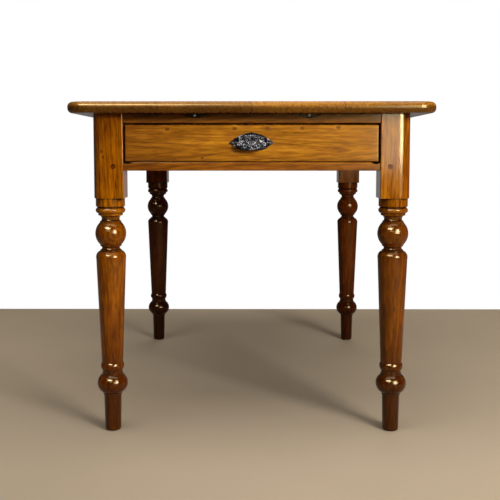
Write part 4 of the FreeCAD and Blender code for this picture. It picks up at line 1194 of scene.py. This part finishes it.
def finish_mesh(bm, name, body, material):
    """Turn a bmesh into a smooth piece that rides on a body."""
    bmesh.ops.recalc_face_normals(bm, faces=bm.faces)
    unclosed = sum(not edge.is_manifold for edge in bm.edges)
    mesh = bpy.data.meshes.new(name)
    bm.to_mesh(mesh)
    bm.free()
    for face in mesh.polygons:
        face.use_smooth = True
    mesh.materials.append(material)
    piece = bpy.data.objects.new(name, mesh)
    scene.collection.objects.link(piece)
    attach(piece, body)
    print(name, len(mesh.polygons), "faces,", unclosed, "open edges")
    return piece


add_ball(casting, to_drawer(0, CUP_REACH, LIP_BALL_UP))
add_ball(casting, to_drawer(0, PLATE_THICK, PLATE_HEIGHT - CROWN_BALL_DOWN))
handle = finish_mesh(casting, "ornate_cup_handle", "drawer", cast_iron)
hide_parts("cup_handle")

# %% [markdown]
# Two slotted screws hold the handle. A head could be a disc with a dark line for its slot, but it sits
# in the middle of the view. So half a ball is flattened to a low dome, and a strip of it is pushed down,
# as a saw would cut the slot. A short rim and a base close it.

# %% Dome of a screw head
HEAD_RADIUS = 0.0035
HEAD_HEIGHT = 0.0022
HEAD_ROUND = (36, 24)


def cut_by_plane(part, place, facing, clear_inner=False):
    """Cut a whole bmesh by a plane, and clear what lies behind the plane if asked."""
    whole = part.verts[:] + part.edges[:] + part.faces[:]
    bmesh.ops.bisect_plane(part, geom=whole, plane_co=place, plane_no=facing, clear_inner=clear_inner)


def low_dome():
    part = bmesh.new()
    round_it, up_it = HEAD_ROUND
    bmesh.ops.create_uvsphere(part, u_segments=round_it, v_segments=up_it, radius=1)
    cut_by_plane(part, (0, 0, 0), (0, 0, 1), clear_inner=True)
    bmesh.ops.scale(part, vec=(HEAD_RADIUS, HEAD_RADIUS, HEAD_HEIGHT), verts=part.verts)
    return part


print("screw heads are", 2 * HEAD_RADIUS * 1000, "mm wide")

# %% Slot and base of a screw head
SLOT_HALF = 0.0005
SLOT_DEPTH = 0.0011
HEAD_RIM = 0.0006
HEAD_WELD = 0.000001


def saw_slot(part):
    """Push a strip of the dome down, with walls on both sides of it."""
    for side in (-SLOT_HALF, SLOT_HALF):
        cut_by_plane(part, (side, 0, 0), (1, 0, 0))
    strip = [face for face in part.faces if abs(face.calc_center_median().x) < SLOT_HALF]
    slot_floor = new_points(bmesh.ops.extrude_face_region(part, geom=strip))
    bmesh.ops.delete(part, geom=strip, context="FACES")
    for vert in slot_floor:
        vert.co.z = max(0.0, vert.co.z - SLOT_DEPTH)
    bmesh.ops.remove_doubles(part, verts=part.verts, dist=HEAD_WELD)


def close_base(part):
    """Give the dome a short rim and a base."""
    base = new_points(bmesh.ops.extrude_edge_only(part, edges=open_edges(part)))
    bmesh.ops.translate(part, verts=base, vec=(0, 0, -HEAD_RIM))
    bmesh.ops.holes_fill(part, edges=open_edges(part))


print("slots are", 2 * SLOT_HALF * 1000, "mm wide")

# %% [markdown]
# The two screws of one handle never stop at the same angle, so each head is turned by its own. Copies of
# one object could be placed, but both heads belong to one piece that slides with the drawer. So each is
# made, turned to look out of the drawer front and added to the same mesh.

# %% Handle screws
STEEL_BROWN = (0.05, 0.04, 0.035, 1)
STEEL_RUBBED = (0.30, 0.28, 0.26, 1)
SLOT_ANGLES = (0.5, -0.9)


def add_screw_head(bm, seat, slot_angle):
    part = low_dome()
    saw_slot(part)
    close_base(part)
    look_out = Matrix.Rotation(math.pi / 2, 4, "X")
    place = Matrix.Translation(seat) @ look_out @ Matrix.Rotation(slot_angle, 4, "Z")
    bmesh.ops.transform(part, matrix=place, verts=part.verts)
    spare = bpy.data.meshes.new("head_part")
    part.to_mesh(spare)
    part.free()
    bm.from_mesh(spare)
    bpy.data.meshes.remove(spare)


def make_handle_screws():
    low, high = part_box("handle_screws")
    bm = bmesh.new()
    level = (low.z + high.z) / 2
    for across, angle in zip((low.x + HEAD_RADIUS, high.x - HEAD_RADIUS), SLOT_ANGLES):
        add_screw_head(bm, Vector((across, low.y + HEAD_HEIGHT, level)), angle)
    brown_steel = worn_iron("brown_steel", STEEL_BROWN, STEEL_RUBBED)
    screws = finish_mesh(bm, "slotted_handle_screws", "drawer", brown_steel)
    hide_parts("handle_screws")


make_handle_screws()

# %% [markdown]
